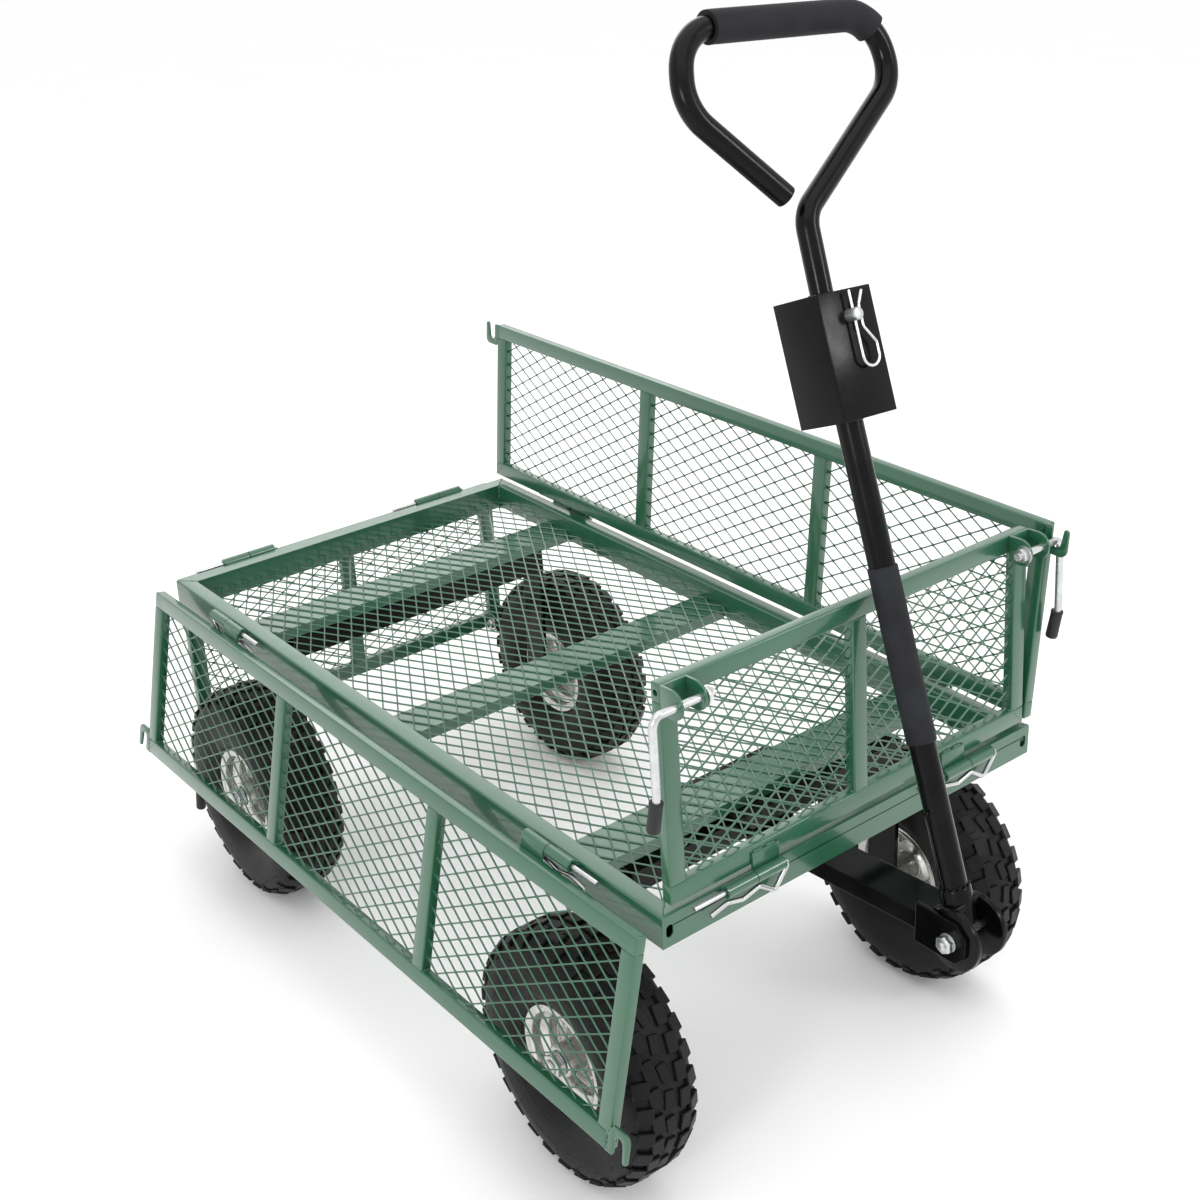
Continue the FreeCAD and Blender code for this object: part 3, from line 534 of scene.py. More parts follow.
panelSettings = {"height": 219 * mm, "face": 19 * mm, "depth": 12.5 * mm, "gap": 9 * mm,
                 "outer": -6.5 * mm, "corner": 1.8 * mm, "vent": 3 * mm, "overlap": 0.4 * mm}
longPanel = {"length": 952 * mm, "posts": 2, "hinges": 321 * mm, "offset": 8.5 * mm}
shortPanel = {"length": 485 * mm, "posts": 1, "hinges": 148 * mm, "offset": 7 * mm}
panelKinds = {
    "left": {**longPanel, "facing": 0, "angle": 4.5, "pinWay": 1},
    "right": {**longPanel, "facing": 180, "angle": 169.0, "pinWay": 1},
    "front": {**shortPanel, "facing": -90, "angle": -2.6, "pinWay": -1},
    "rear": {**shortPanel, "facing": 90, "angle": 182.0, "pinWay": 1},
}
mirrorX = Matrix.Diagonal((-1, 1, 1, 1))
bothEnds = (Matrix.Identity(4), mirrorX)
panelOuter = panelSettings["outer"]
panelInner = panelOuter - panelSettings["depth"]
panelTop = panelSettings["gap"] + panelSettings["height"]


def hingeMatrix(side):
    spot = Vector(joints[side + "_panel_swing"]["pos_m"])
    return Matrix.Translation(spot) @ Matrix.Rotation(math.radians(panelKinds[side]["facing"]), 4, "Z")


def panelMatrix(side):
    return hingeMatrix(side) @ Matrix.Rotation(math.radians(-panelKinds[side]["angle"]), 4, "X")


def addPanelWelds(bm, centre, half, face, low):
    # the seams where one post meets the two long rails
    wide = face * 0.36
    for height, way in ((low + face, -1), (panelTop - face, 1)):
        for depth in (panelInner + 0.7 * mm, panelOuter - 0.7 * mm):
            if abs(centre) + face < half:
                addWeld(bm, (centre - wide, depth, height), (centre + wide, depth, height), 0.9 * mm)
            else:
                past = math.copysign(face / 2 - 1.5 * mm, centre)
                start = (centre - past, depth, height + way * 1 * mm)
                addWeld(bm, start, (centre + past, depth, height + way * (face - 2 * mm)), 0.85 * mm)
        for spot in (centre - face / 2, centre + face / 2):
            if abs(spot) < half - 1 * mm:
                inside, outside = panelInner + 3 * mm, panelOuter - 3 * mm
                addWeld(bm, (spot, inside, height), (spot, outside, height), 1.9 * mm)


def buildPanel(side):
    kind, corner = panelKinds[side], panelSettings["corner"]
    face, half, low = panelSettings["face"], kind["length"] / 2, panelSettings["gap"]
    count = kind["posts"] + 1
    centres = [-half + face / 2 + (kind["length"] - face) * k / count for k in range(count + 1)]
    bm = bmesh.new()
    for bottom in (low, panelTop - face):
        part = bmesh.new()
        addBlock(part, (-half, panelInner, bottom), (half, panelOuter, bottom + face), corner, 3)
        if bottom > low:
            for end in (1, -1):
                spot = Vector((end * half, (panelInner + panelOuter) / 2, bottom + face / 2))
                reach = Vector((end * 8 * mm, 0, 0))
                part = drilled(part, spot - reach, spot + reach, panelSettings["vent"])
        absorb(bm, part)
    for centre in centres:
        addBlock(bm, (centre - face / 2, panelInner, low + face - 0.5 * mm),
                 (centre + face / 2, panelOuter, panelTop - face + 0.5 * mm), corner, 3)
    for centre in centres:
        addPanelWelds(bm, centre, half, face, low)
    body, place = side + "_panel", panelMatrix(side)
    makePiece(side + "_frame", bm, green, body, [body + "_frame"], place)
    bm = bmesh.new()
    middle = Matrix.Translation((0, (panelInner + panelOuter) / 2, 0))
    upright = middle @ Matrix.Rotation(math.pi / 2, 4, "X")
    inset = face - panelSettings["overlap"]
    for left, right in zip(centres, centres[1:]):
        reach = face / 2 - panelSettings["overlap"]
        addExpanded(bm, (left + reach, low + inset), (right - reach, panelTop - inset), upright)
    makePiece(side + "_mesh", bm, green, body, [body + "_mesh"], place, 25)


# Hinges

hingeSettings = {"radius": 6.25 * mm, "bore": 3.0 * mm, "length": 36 * mm, "gap": 0.6 * mm, "leaf": 3 * mm,
                 "leafTop": 22 * mm, "wire": 2.5 * mm, "tip": 38 * mm, "hook": 9 * mm,
                 "waves": (26, 12, 17, 12, 17), "step": 20 * mm}


def addBarrel(bm, low, high):
    outer, bore, soft = hingeSettings["radius"], hingeSettings["bore"], 0.5 * mm
    outline = [(bore, low + soft), (bore + soft, low), (outer - soft, low), (outer, low + soft),
               (outer, high - soft), (outer - soft, high), (bore + soft, high), (bore, high - soft)]
    addTurned(bm, outline, 32, Matrix.Rotation(-math.pi / 2, 4, "Z"))


def hingeSpans(reach):
    gap, length = hingeSettings["gap"] / 2, hingeSettings["length"]
    for end in (1, -1):
        outside = sorted((end * (reach + gap), end * (reach + gap + length)))
        inside = sorted((end * (reach - gap), end * (reach - gap - length)))
        yield outside, inside


def addHook(bm, half):
    # the plate past the end of a side panel's top rail, with a slot for the latch rod
    reach, slot, centre, depth, height = 26 * mm, 6 * mm, 12 * mm, 22 * mm, 30 * mm
    floor = panelTop - depth + slot
    outline = [(-6 * mm, panelTop - 19 * mm), (0, panelTop - height + 4 * mm), (3 * mm, panelTop - height)]
    outline += arc((reach - 8 * mm, panelTop - height + 8 * mm), 8 * mm, -90, 0, 6)
    outline += arc((reach - 3.5 * mm, panelTop - 3.5 * mm), 3.5 * mm, 0, 130, 5)
    outline += arc((centre, floor), slot, 0, -180, 10)
    side = centre - slot
    outline += [(side, panelTop - 2 * mm), (side - 1.5 * mm, panelTop), (-6 * mm, panelTop)]
    stand = Matrix.Translation((half, panelInner + 3 * mm, 0)) @ Matrix.Rotation(math.pi / 2, 4, "X")
    addPlate(bm, outline, 3 * mm, 0.5 * mm, stand)
    seam = panelInner + 3.6 * mm
    addWeld(bm, (half, seam, panelTop - 3 * mm), (half, seam, panelTop - 17 * mm), 1.7 * mm)


latchSettings = {"forward": 14 * mm, "height": 214 * mm, "spacing": 27 * mm, "sheet": 3 * mm,
                 "ear": 14 * mm, "back": 6 * mm, "rod": 4 * mm, "plane": 268.5 * mm, "bend": 10 * mm,
                 "drop": 66 * mm, "kink": 12, "tail": 30 * mm}


def addLatchBracket(bm, half):
    # a strip bent to a U, with a rounded ear on each side of the rod
    forward, height = latchSettings["forward"], latchSettings["height"]
    ear, sheet, spacing = latchSettings["ear"], latchSettings["sheet"], latchSettings["spacing"]
    tip = forward - latchSettings["back"]
    outline = arc((tip, height), ear, -90, 90, 14)
    outline = [(panelOuter, height - ear), *outline, (panelOuter, height + ear)]
    alongX = Matrix(((0, 0, 1, 0), (1, 0, 0, 0), (0, 1, 0, 0), (0, 0, 0, 1)))
    for start in (half, half - spacing):
        addPlate(bm, outline, sheet, 0.6 * mm, Matrix.Translation((start - sheet, 0, 0)) @ alongX)
    addBlock(bm, (half - spacing - sheet * 0.5, panelOuter, height - ear),
             (half - sheet * 0.4, panelOuter + sheet, height + ear), 0.8 * mm)
    for start in (half - sheet - 0.1 * mm, half - spacing + 0.1 * mm):
        low, high = start - 0.7 * mm, start + 0.7 * mm
        addRod(bm, (low, forward, height), (high, forward, height), 6.2 * mm, 28, 0.3 * mm)


def buildFittings(side):
    kind, leaf, top = panelKinds[side], hingeSettings["leaf"], hingeSettings["leafTop"]
    root, seam = -kind["offset"], panelOuter + 0.6 * mm
    bedHalf, panelHalf = bmesh.new(), bmesh.new()
    for outside, inside in hingeSpans(kind["hinges"]):
        addBarrel(bedHalf, *outside)
        addBlock(bedHalf, (outside[0], root, -5.4 * mm), (outside[1], -3 * mm, -0.6 * mm), 0.8 * mm)
        for height in (-0.4 * mm, -5.6 * mm):
            start = (outside[0] + 3 * mm, root + 0.7 * mm, height)
            addWeld(bedHalf, start, (outside[1] - 3 * mm, root + 0.7 * mm, height), 1.3 * mm)
        addBarrel(panelHalf, *inside)
        addBlock(panelHalf, (inside[0] + 1 * mm, panelOuter, -2 * mm),
                 (inside[1] - 1 * mm, panelOuter + leaf, top), 0.9 * mm)
        for share in (0.2, 0.62):
            start = inside[0] + hingeSettings["length"] * share
            addWeld(panelHalf, (start, seam, top), (start + 8 * mm, seam, top), 1.6 * mm)
    addCorner = addHook if side in ("left", "right") else addLatchBracket
    for turn in bothEnds:
        part = bmesh.new()
        addCorner(part, kind["length"] / 2)
        absorb(panelHalf, part, turn)
    body = side + "_panel"
    makePiece(side + "_fittings", panelHalf, green, body, [body + "_fittings"],
              panelMatrix(side))
    makePiece(side + "_bed_barrels", bedHalf, green, "bed", ["bed_hinge_barrels"],
              hingeMatrix(side))


def buildPins(side):
    # two bent wires through the barrels, each with a wavy return leg
    kind = panelKinds[side]
    bm = bmesh.new()
    way = kind["pinWay"]
    for end in (1, -1):
        reach = end * kind["hinges"]
        span = hingeSettings["gap"] / 2 + hingeSettings["length"]
        out = reach + way * (span + hingeSettings["hook"])
        points = [(reach - way * (span + hingeSettings["tip"]), 0, 0), (out, 0, 0)]
        for k, depth in enumerate(hingeSettings["waves"]):
            points.append((out - way * hingeSettings["step"] * (k + 1), 0, -depth * mm))
        addWire(bm, softened(points, [4 * mm] * (len(points) - 2), 6), hingeSettings["wire"], 4)
    makePiece(side + "_wire_pins", bm, zinc, side + "_pins", [side + "_hinge_pins"],
              hingeMatrix(side), 40)


def buildLatch(side, end):
    # the bent latch rod with its nut, and the rubber grip on its tail
    half = panelKinds[side]["length"] / 2
    down = -1 if side == "front" else 1
    mirrored = (side == "front") == (end == "left")
    forward, height, bend = latchSettings["forward"], latchSettings["height"], latchSettings["bend"]
    inner = half - latchSettings["sheet"] - latchSettings["spacing"]
    kink = math.radians(latchSettings["kink"])
    corner = Vector((latchSettings["plane"], forward, height))
    knee = corner + Vector((0, 0, down * (bend + latchSettings["drop"])))
    tail = knee + Vector((0, -math.sin(kink), down * math.cos(kink))) * latchSettings["tail"]
    route = softened([(inner - 12 * mm, forward, height), corner, knee, tail], [bend, 12 * mm], 8)
    bm = bmesh.new()
    addWire(bm, route, latchSettings["rod"], 5)
    addNut(bm, (inner - 0.6 * mm, forward, height), (-1, 0, 0), 12.5 * mm, 5.6 * mm, 9.2 * mm)
    grip = bmesh.new()
    way = (tail - knee).normalized()
    start, finish = tail - way * 26 * mm, tail + way * 5.6 * mm
    addRod(grip, start, finish, 6.1 * mm, 28, 1.6 * mm, 6.4 * mm)
    addRod(grip, start - way * 0.2 * mm, start + way * 3 * mm, 6.5 * mm, 28, 0.9 * mm)
    place = panelMatrix(side)
    if mirrored:
        place = place @ mirrorX
    body = side + "_" + end + "_latch"
    makePiece(body + "_lever", bm, zinc, body, [body + "_rod"], place, 40)
    makePiece(body + "_handgrip", grip, leverRubber, body, [body + "_grip"], place, 40)


# Wheels, built round Y with the outside of the cart towards +Y

wheelSettings = {"outer": 136 * mm, "half": 43 * mm, "bead": 52 * mm, "blocks": 30}
# the tyre's side from bead to crown, as shares of its rise and of its half width
sideLine = ((0.0, 0.60), (0.07, 0.66), (0.16, 0.80), (0.30, 0.93), (0.50, 0.985), (0.68, 0.955),
            (0.81, 0.86), (0.89, 0.70), (0.935, 0.50), (0.953, 0.27), (0.962, 0.0))


def smoothLine(points, steps):
    # a rounded line through the points
    out = []
    padded = [points[0]] + list(points) + [points[-1]]
    for before, start, end, after in zip(padded, padded[1:], padded[2:], padded[3:]):
        for k in range(steps):
            t = k / steps
            out.append(tuple(0.5 * (2 * b + (c - a) * t + (2 * a - 5 * b + 4 * c - d) * t * t
                                    + (3 * b - a - 3 * c + d) * t ** 3)
                             for a, b, c, d in zip(before, start, end, after)))
    return out + [tuple(points[-1])]


def treadPoint(share):
    # a spot on the tyre's section, its direction and its outward way; share runs from bead 0 to crown 1
    rise = wheelSettings["outer"] - wheelSettings["bead"]
    line = smoothLine(sideLine, 6)
    spot = share * (len(line) - 2)
    k = int(spot)
    a, b = Vector(line[k]), Vector(line[k + 1])
    here = a.lerp(b, spot - k)
    point = Vector((wheelSettings["bead"] + rise * here.x, wheelSettings["half"] * here.y))
    along = Vector(((b.x - a.x) * rise, (b.y - a.y) * wheelSettings["half"])).normalized()
    away = Vector((-along.y, along.x))
    if away.x < 0:
        away = -away
    return point, along, away


def addTread(bm, share, side, turn, wide, long, tall, twist):
    # one rubber block on the carcass
    point, along, away = treadPoint(share)
    along, away = Vector((along.x, along.y * side, 0)), Vector((away.x, away.y * side, 0))
    across = along.cross(away)
    spin = Matrix.Rotation(twist, 4, "Z")
    basis = Matrix((along, across, away)).transposed().to_4x4()
    centre = Vector((point.x, point.y * side, 0)) + away * (tall / 2 - 1.2 * mm)
    place = Matrix.Rotation(turn, 4, "Y") @ Matrix.Translation(centre) @ basis @ spin
    size = Matrix.Diagonal((wide, long, tall, 1))
    verts = bmesh.ops.create_cube(bm, size=1.0, matrix=place @ size)["verts"]
    roundEdges(bm, {edge for vert in verts for edge in vert.link_edges}, 0.9 * mm, 1)


def tyreMesh():
    outer, half, bead = wheelSettings["outer"], wheelSettings["half"], wheelSettings["bead"]
    rise = outer - bead
    line = smoothLine(sideLine, 6)
    shell = [(bead + rise * up, half * wide) for up, wide in line]
    outline = [(bead, 18 * mm), (bead, 24 * mm)] + shell[1:]
    outline += [(r, -y) for r, y in reversed(outline[:-1])]
    inside = [(bead + (rise - 8 * mm) * up + 1 * mm, (half - 6 * mm) * wide) for up, wide in line[6::5]]
    outline += [(r, -y) for r, y in inside] + [(r, y) for r, y in reversed(inside[:-1])]
    bm = bmesh.new()
    addTurned(bm, outline, 96)
    for side in (1, -1):
        for share, thick in ((0.13, 0.63 * mm), (0.30, 0.405 * mm), (0.56, 0.45 * mm)):
            spot = [point for point in shell if point[0] > bead + rise * share][0]
            ring = [(spot[0] + 1.1 * mm * math.cos(a), side * (spot[1] + thick * math.sin(a) - 0.2 * mm))
                    for a in [math.radians(45 * k) for k in range(8)]]
            addTurned(bm, ring, 96)
    count = wheelSettings["blocks"]
    step = 2 * math.pi / count
    for k in range(count):
        turn = k * step
        for side in (1, -1):
            lean = side * 0.10
            early, late = (0.25, 0.78) if side > 0 else (0.75, 0.28)
            addTread(bm, 0.735, side, turn + step * early, 17 * mm, 17 * mm, 4.6 * mm, lean)
            addTread(bm, 0.865, side, turn + step * late, 13.5 * mm, 20 * mm, 4.4 * mm, -lean)
            if k % 2 == 0:
                addTread(bm, 0.625, side, turn + step * early, 9 * mm, 11 * mm, 3.0 * mm, 0)
        addTread(bm, 0.995, 1, turn + step * 0.5, 11 * mm, 19 * mm, 3.4 * mm, 0.18 if k % 2 else -0.18)
    point, along, away = treadPoint(0.52)
    for k in range(0, count * 2, 3):  # moulding nibs
        for side in (1, -1):
            turn = Matrix.Rotation((k + 0.3 * side) * step / 2, 4, "Y")
            start = turn @ Vector((point.x, point.y * side, 0))
            end = turn @ Vector((point.x + away.x * 2 * mm, (point.y + away.y * 2 * mm) * side, 0))
            addRod(bm, start, end, 0.45 * mm, 6, 0, 0.3 * mm)
    return bm


rimSettings = {"seat": 28 * mm, "flange": 8 * mm, "sheet": 2 * mm, "well": 44 * mm, "bolts": 4,
               "circle": 33 * mm, "hub": 17 * mm, "bore": 8.3 * mm, "hubEnds": (-51 * mm, 33 * mm)}


def addRimHalf(bm, side):
    # one pressed half: hub seat, dish, well, bead seat and rolled flange
    seat, sheet, well = rimSettings["seat"], rimSettings["sheet"], rimSettings["well"]
    bead = wheelSettings["bead"]
    lip = bead + rimSettings["flange"]
    line = [(rimSettings["hub"], 0.2 * mm), (39 * mm, 0.2 * mm), (42.5 * mm, 1.4 * mm), (well, 4 * mm),
            (well + 0.4 * mm, 12 * mm), (well + 3 * mm, 15 * mm), (bead - 1.2 * mm, 17.4 * mm),
            (bead - 0.1 * mm, 19 * mm), (bead - 0.1 * mm, seat - 1.5 * mm),
            (bead + 1.6 * mm, seat - 0.1 * mm), (lip - 2 * mm, seat + 0.1 * mm), (lip, seat + 1.4 * mm)]
    back = []
    for radius, along in line:
        flat = radius < 43 * mm or radius > bead + 1 * mm
        inner = radius - sheet * 0.8 if radius > 40 * mm else radius
        back.append((inner, along + (sheet if flat else sheet * 0.3)))
    back[-1] = (lip - 0.4 * mm, seat + 2.9 * mm)
    outline = smoothLine(line, 3) + list(reversed(smoothLine(back, 3)))
    addTurned(bm, [(r, side * y) for r, y in outline], 72)


def rimMesh():
    # both pressed halves, with dimples round the flange and the valve stem
    bm = bmesh.new()
    for half in (1, -1):
        addRimHalf(bm, half)
    for k in range(6):
        turn = Matrix.Rotation(k * math.pi / 3, 4, "Y")
        low, high = Vector((57 * mm, 29.4 * mm, 0)), Vector((57 * mm, 30.6 * mm, 0))
        addRod(bm, turn @ low, turn @ high, 0.9 * mm, 10, 0.2 * mm)
    valve = Matrix.Rotation(0.6, 4, "Y")
    root, tip = Vector((46 * mm, 12 * mm, 0)), Vector((40 * mm, 27 * mm, 0))
    addRod(bm, valve @ root, valve @ tip, 3.2 * mm, 16, 0.5 * mm, 2.6 * mm)
    return bm


def hubMesh():
    # the hub tube, a collar each side of the rim and the bolts that join its halves
    hub, bore, circle = rimSettings["hub"], rimSettings["bore"], rimSettings["circle"]
    back, front = rimSettings["hubEnds"]
    soft = 1 * mm
    bm = bmesh.new()
    addTurned(bm, [(bore, back), (hub - soft, back), (hub, back + soft), (hub, front - soft),
                   (hub - soft, front), (bore, front)], 40)
    collar = [(hub, 2.4 * mm), (27 * mm, 2.4 * mm), (27.6 * mm, 3.2 * mm), (25 * mm, 5 * mm),
              (19.4 * mm, 7 * mm), (17.6 * mm, 10 * mm), (hub, 10 * mm)]
    addTurned(bm, collar, 40)
    addTurned(bm, [(radius, -along) for radius, along in collar], 40)
    for k in range(rimSettings["bolts"]):
        angle = 2 * math.pi * (k + 0.5) / rimSettings["bolts"]
        spot = Vector((circle * math.cos(angle), 0, circle * math.sin(angle)))
        lift = Vector((0, 2.2 * mm, 0))
        addNut(bm, spot + lift, (0, 1, 0), 12 * mm, 5.4 * mm, 7.6 * mm, 4 * mm, 4 * mm)
        addNut(bm, spot - lift, (0, -1, 0), 12 * mm, 4.6 * mm, 7.6 * mm)
    return bm


def buildWheel(end, side):
    sign = 1 if side == "left" else -1
    body = end + "_" + side + "_wheel"
    centre = Vector(joints[body + "_turn"]["pos_m"])
    spin = Matrix.Rotation({"front": 0.35, "rear": 1.1}[end] * sign, 4, "Y")
    place = Matrix.Translation(centre) @ Matrix.Rotation(0 if sign > 0 else math.pi, 4, "Z")
    name = end + "_" + side
    makePiece(name + "_tread_tyre", tyreMesh(), rubber, body, [name + "_tyre"], place @ spin, 38)
    makePiece(name + "_pressed_rim", rimMesh(), rimZinc, body, [name + "_rim"], place, 40)
    makePiece(name + "_bolted_hub", hubMesh(), rimZinc, body, [name + "_hub"], place, 40)


# Axles and running gear

axleSettings = {"leg": 184 * mm, "reach": 275 * mm, "rod": 8 * mm, "nut": 22 * mm, "nutHeight": 7.6 * mm}


def buildAxle(end, body):
    # a stub axle on each leg: its head inside, its washer and nut outside the hub
    spot = Vector(joints[end + "_left_wheel_turn"]["pos_m"])
    leg, reach, rod = axleSettings["leg"], axleSettings["reach"], axleSettings["rod"]
    nut, nutHeight = axleSettings["nut"], axleSettings["nutHeight"]
    middle = Vector((spot.x, cartZero.y, spot.z))
    bm = bmesh.new()
    for sign in (1, -1):
        way = Vector((0, sign, 0))
        addRod(bm, middle + way * leg, middle + way * (reach + 12 * mm), rod, 32, 0.8 * mm)
        addNut(bm, middle + way * (reach + 0.6 * mm), way, nut, nutHeight, 13 * mm, 7.9 * mm, 3.2 * mm)
        addNut(bm, middle + way * leg, -way, nut, nutHeight)
    makePiece(end + "_axle_stubs", bm, zinc, body, [end + "_axle"], None, 40)
    finishCad(end + "_axle_beam", black, 1.0 * mm)


def buildTongue():
    finishCad("tongue", black, 1.0 * mm)
    finishCad("clevis_plates", black, 0.8 * mm)
    finishCad("kingpin", zinc, 0.6 * mm)
    pivot = Vector(joints["handle_swing"]["pos_m"])
    half, head = Vector((0, 26 * mm, 0)), Vector((0, 32 * mm, 0))
    bm = bmesh.new()
    addRod(bm, pivot - half, pivot + half, 5 * mm, 24)
    addNut(bm, pivot - half, (0, -1, 0), 15.5 * mm, 7 * mm, 9.4 * mm, 4.9 * mm, 3.4 * mm)
    addRod(bm, pivot + half, pivot + head, 8.9 * mm, 6, 0.7 * mm)
    makePiece("handle_pivot_bolt", bm, zinc, "steering", ["clevis_bolt"], None, 40)
    bm = bmesh.new()
    x = cartZero.x + 571 * mm
    for sign in (1, -1):
        y = cartZero.y + sign * 22.6 * mm
        for k in (0, 1):
            height = bedTop - (60 + 17 * k) * mm
            addWeld(bm, (x, y, height + 4 * mm), (x, y, height - 4 * mm), 1.6 * mm)
    makePiece("clevis_welds", bm, black, "steering", ())


# Handle, built along its own Z from the pivot, X forward and Y to the left

handleSettings = {"lean": 21.9, "side": 2.4, "back": 3 * mm, "tube": 12.7 * mm, "sleeve": 14.3 * mm,
                  "sleeveEnds": (182 * mm, 349 * mm), "box": (486 * mm, 602 * mm), "boxWide": 66 * mm,
                  "boxDeep": 60 * mm, "sheet": 3 * mm, "loop": 11 * mm, "grip": 15.3 * mm}
# the loop's corners in millimetres, sideways and along the handle, and the bend at each inner one
loopRoute = ((0, 540), (3, 676), (150, 786), (142, 850), (-94, 850), (-108, 782), (-15, 694))
loopBends = (32, 42, 42, 46, 46)


def yokeMatrix():
    pivot = Vector(joints["handle_swing"]["pos_m"])
    return Matrix.Translation(pivot) @ Matrix.Rotation(math.radians(-handleSettings["lean"]), 4, "Y")


def handleMatrix():
    side = Matrix.Rotation(math.radians(-handleSettings["side"]), 4, "X")
    return yokeMatrix() @ side @ Matrix.Translation((-handleSettings["back"], 0, 0))


def buildYoke():
    # two round cheeks on the clevis bolt, the block between them and the socket for the tube
    radius, half, sheet, bore, tube = 30.9 * mm, 21.5 * mm, 6.5 * mm, 5.3 * mm, handleSettings["tube"]
    bm = bmesh.new()
    for start in (-half, half - sheet):
        finish, inner, edge = start + sheet, radius - 1.2 * mm, radius - 0.3 * mm
        addTurned(bm, [(bore, start), (inner, start), (edge, start + 0.4 * mm), (radius, start + 1.4 * mm),
                       (radius, finish - 1.4 * mm), (edge, finish - 0.4 * mm), (inner, finish),
                       (bore, finish)], 64)
    addBlock(bm, (-17 * mm, -half + 1 * mm, 22 * mm), (11 * mm, half - 1 * mm, 29.6 * mm), 1.6 * mm, 3)
    bmesh.ops.transform(bm, matrix=yokeMatrix(), verts=bm.verts)
    socket = bmesh.new()
    ring = [(0, 9.2 * mm), (13.4 * mm, 9.2 * mm), (15.1 * mm, 11 * mm), (15.2 * mm, 41 * mm),
            (14.6 * mm, 42.6 * mm), (13.4 * mm, 43 * mm), (tube, 42.6 * mm), (tube, 36 * mm), (0, 36 * mm)]
    addTurned(socket, ring, 40, Matrix.Rotation(math.pi / 2, 4, "X"), False)
    addRingWeld(socket, 13.4 * mm, 43.2 * mm, 14, 1.7 * mm, 1.2)
    absorb(bm, socket, handleMatrix())
    makePiece("handle_clevis_yoke", bm, black, "handle", ["handle_yoke"], None, 40)


def buildHandle():
    low, high = handleSettings["box"]
    wide, deep, sheet = handleSettings["boxWide"] / 2, handleSettings["boxDeep"] / 2, handleSettings["sheet"]
    tube, loop, place = handleSettings["tube"], handleSettings["loop"], handleMatrix()
    bm = bmesh.new()
    addRod(bm, (0, 0, 30 * mm), (0, 0, low + 2 * mm), tube, 48)
    addRod(bm, (0, -12.2 * mm, 118 * mm), (0, -16.2 * mm, 118 * mm), 2.6 * mm, 20, 0.8 * mm)
    makePiece("lower_handle_tube", bm, black, "handle", ["handle_tube"], place, 40)
    bm = bmesh.new()
    start, finish = handleSettings["sleeveEnds"]
    outer = handleSettings["sleeve"]
    line = [(tube, start), (outer - 0.7 * mm, start), (outer, start + 0.9 * mm)]
    for k in range(1, 14):
        line.append((outer + 0.12 * mm * math.sin(k * 2.4), start + (finish - start) * k / 14))
    line += [(outer, finish - 0.9 * mm), (outer - 0.7 * mm, finish), (tube, finish)]
    addTurned(bm, line, 48, Matrix.Rotation(math.pi / 2, 4, "X"))
    makePiece("handle_tube_sleeve", bm, foam, "handle", ["handle_sleeve"], place, 40)
    bm = bmesh.new()
    soft = 1.0 * mm
    addBlock(bm, (deep - sheet, -wide, low), (deep, wide, high), soft, 3)
    for sign in (1, -1):
        edges = sorted((sign * wide, sign * (wide - sheet)))
        addBlock(bm, (-deep, edges[0], low), (deep - 0.4 * mm, edges[1], high), soft, 3)
    for bottom in (low, high - sheet):
        addBlock(bm, (-deep + 1 * mm, -wide + sheet * 0.5, bottom + 0.3 * mm),
                 (deep - sheet * 0.5, wide - sheet * 0.5, bottom + sheet - 0.3 * mm), 0.5 * mm)
    for radius, height in ((tube, low - 0.2 * mm), (loop, high + 0.2 * mm)):
        addRingWeld(bm, radius, height, 16, 1.5 * mm, 1.15)
    makePiece("tow_hitch_box", bm, black, "handle", ["hitch_box"], place)
    bm = bmesh.new()
    route = softened([(0, y * mm, s * mm) for y, s in loopRoute], [bend * mm for bend in loopBends], 12)
    addWire(bm, route, loop, 9)
    makePiece("upper_handle_loop", bm, black, "handle", ["handle_loop"], place, 40)
    bm = bmesh.new()
    gripRoute = [spot for spot in route if -64 * mm < spot.y < 137 * mm and spot.z > 834 * mm]
    addWire(bm, gripRoute, handleSettings["grip"], 10)
    rims = [edge for edge in bm.edges if edge.calc_face_angle(0) > math.radians(60)]
    roundEdges(bm, rims, 2.2 * mm, 3)
    makePiece("foam_hand_grip", bm, foam, "handle", ["handle_grip"], place, 40)
    buildHitchPin(place, deep, high - 24 * mm)


def buildHitchPin(place, deep, height):
    # the headed pin through the box, and the wire clip in its far end
    bm = bmesh.new()
    addRod(bm, (-14 * mm, 0, height), (deep + 13 * mm, 0, height), 6 * mm, 32, 1.4 * mm)
    addRod(bm, (-17 * mm, 0, height), (-13.4 * mm, 0, height), 9 * mm, 32, 0.9 * mm)
    makePiece("tow_pin", bm, zinc, "handle", ["hitch_pin"], place, 40)
    bm = bmesh.new()
    plane, beside, wide = deep + 6 * mm, 8.1 * mm, 20 * mm
    low = height - 48 * mm
    outline = [(0, height + 22 * mm), (0, low), (wide, low), (wide, low + 20 * mm), (beside, low + 36 * mm),
               (beside, height + 8 * mm), (beside + 7 * mm, height + 20 * mm)]
    bends = [9.9 * mm, 9.9 * mm, 5 * mm, 5 * mm, 5 * mm]
    addWire(bm, softened([(plane, y, s) for y, s in outline], bends, 8), 1.5 * mm, 4)
    makePiece("spring_clip", bm, zinc, "clip", ["r_clip"], place, 40)


buildBed()
print("bed made")
for side in panelKinds:
    buildPanel(side)
    buildFittings(side)
    buildPins(side)
print("panels, hinges and pins made")
for side in ("front", "rear"):
    for end in ("left", "right"):
        buildLatch(side, end)
        buildWheel(side, end)
print("latches and wheels made")
buildAxle("front", "steering")
buildAxle("rear", "bed")
buildTongue()
buildYoke()
buildHandle()
print("running gear and handle made")


# Stage, light and camera

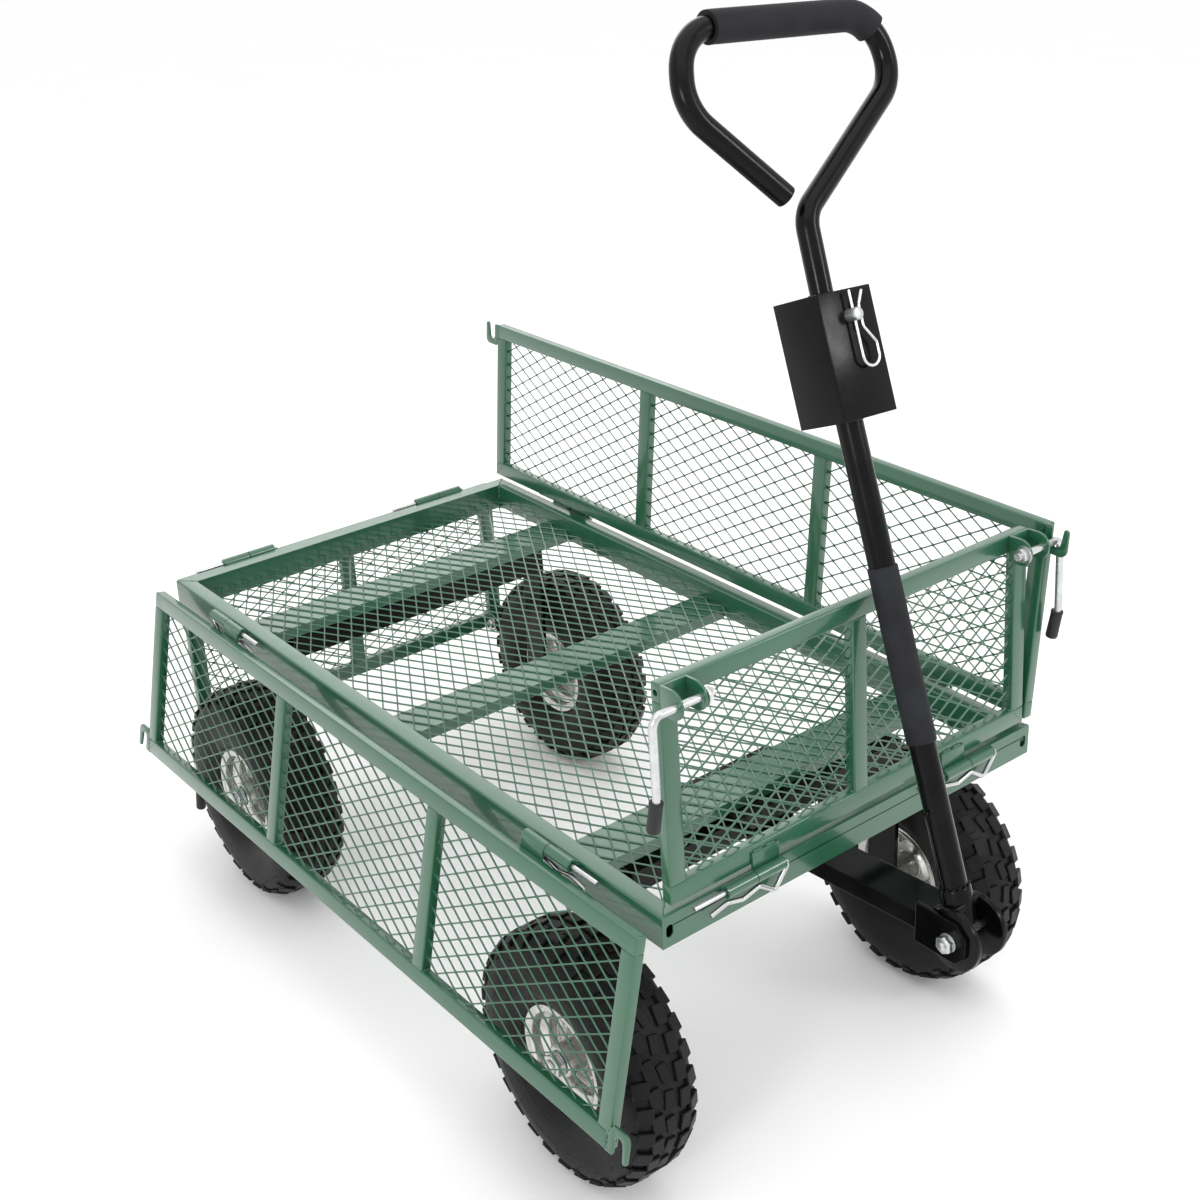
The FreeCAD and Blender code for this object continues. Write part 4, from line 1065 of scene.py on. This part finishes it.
def addStage():
    bm = bmesh.new()
    bmesh.ops.create_grid(bm, x_segments=1, y_segments=1, size=12.0)
    mesh = bpy.data.meshes.new("floor")
    bm.to_mesh(mesh)
    bm.free()
    floor = bpy.data.objects.new("floor", mesh)
    paper = Recipe("pale floor")
    tone = paper.mix(paper.noise(3.0, 2.0), (0.88, 0.88, 0.88), (0.90, 0.90, 0.90))
    mesh.materials.append(paper.surface(Base_Color=tone, Roughness=0.75))
    bpy.context.collection.objects.link(floor)


lamps = {
    "above": {"spot": (0.4, -0.3, 3.2), "size": 3.4, "power": 34},
    "front left": {"spot": (2.6, 1.6, 1.9), "size": 0.7, "power": 18},
    "front right": {"spot": (1.4, -2.8, 1.6), "size": 0.6, "power": 22},
    "behind": {"spot": (-2.6, 1.2, 2.2), "size": 2.2, "power": 18},
}


def addLights():
    world = bpy.data.worlds.new("studio")
    bpy.context.scene.world = world
    world.use_nodes = True
    world.node_tree.nodes["Background"].inputs[0].default_value = (1, 1, 1, 1)
    world.node_tree.nodes["Background"].inputs[1].default_value = 1.1
    for name, lamp in lamps.items():
        light = bpy.data.lights.new(name, "AREA")
        light.energy = lamp["power"]
        light.size = lamp["size"]
        holder = bpy.data.objects.new(name, light)
        holder.location = Vector(lamp["spot"])
        aim = Vector((0, 0, 0.35)) - holder.location
        holder.rotation_mode = "QUATERNION"
        holder.rotation_quaternion = aim.to_track_quat("-Z", "Y")
        bpy.context.collection.objects.link(holder)


cameraSettings = {"lens": 52.46, "shift": (-0.0400, -0.0728), "spot": (1.4632, -1.0689, 1.3082),
                  "right": (0.64232053, 0.76607602, -0.02349191),
                  "up": (-0.28658517, 0.26849059, 0.91966393),
                  "back": (0.71083984, -0.58398659, 0.39200304)}


def addCamera():
    lens = bpy.data.cameras.new("camera")
    lens.lens = cameraSettings["lens"]
    lens.sensor_width = 36
    lens.shift_x, lens.shift_y = cameraSettings["shift"]
    camera = bpy.data.objects.new("camera", lens)
    ways = [Vector(cameraSettings[way]) for way in ("right", "up", "back")]
    turn = Matrix(ways).transposed()
    spot = cartZero + Vector(cameraSettings["spot"])
    camera.matrix_world = Matrix.Translation(spot) @ turn.to_4x4()
    bpy.context.collection.objects.link(camera)
    bpy.context.scene.camera = camera


addStage()
addLights()
addCamera()
bpy.context.scene.view_settings.view_transform = "Standard"
print("stage and camera made")

bpy.context.view_layer.update()
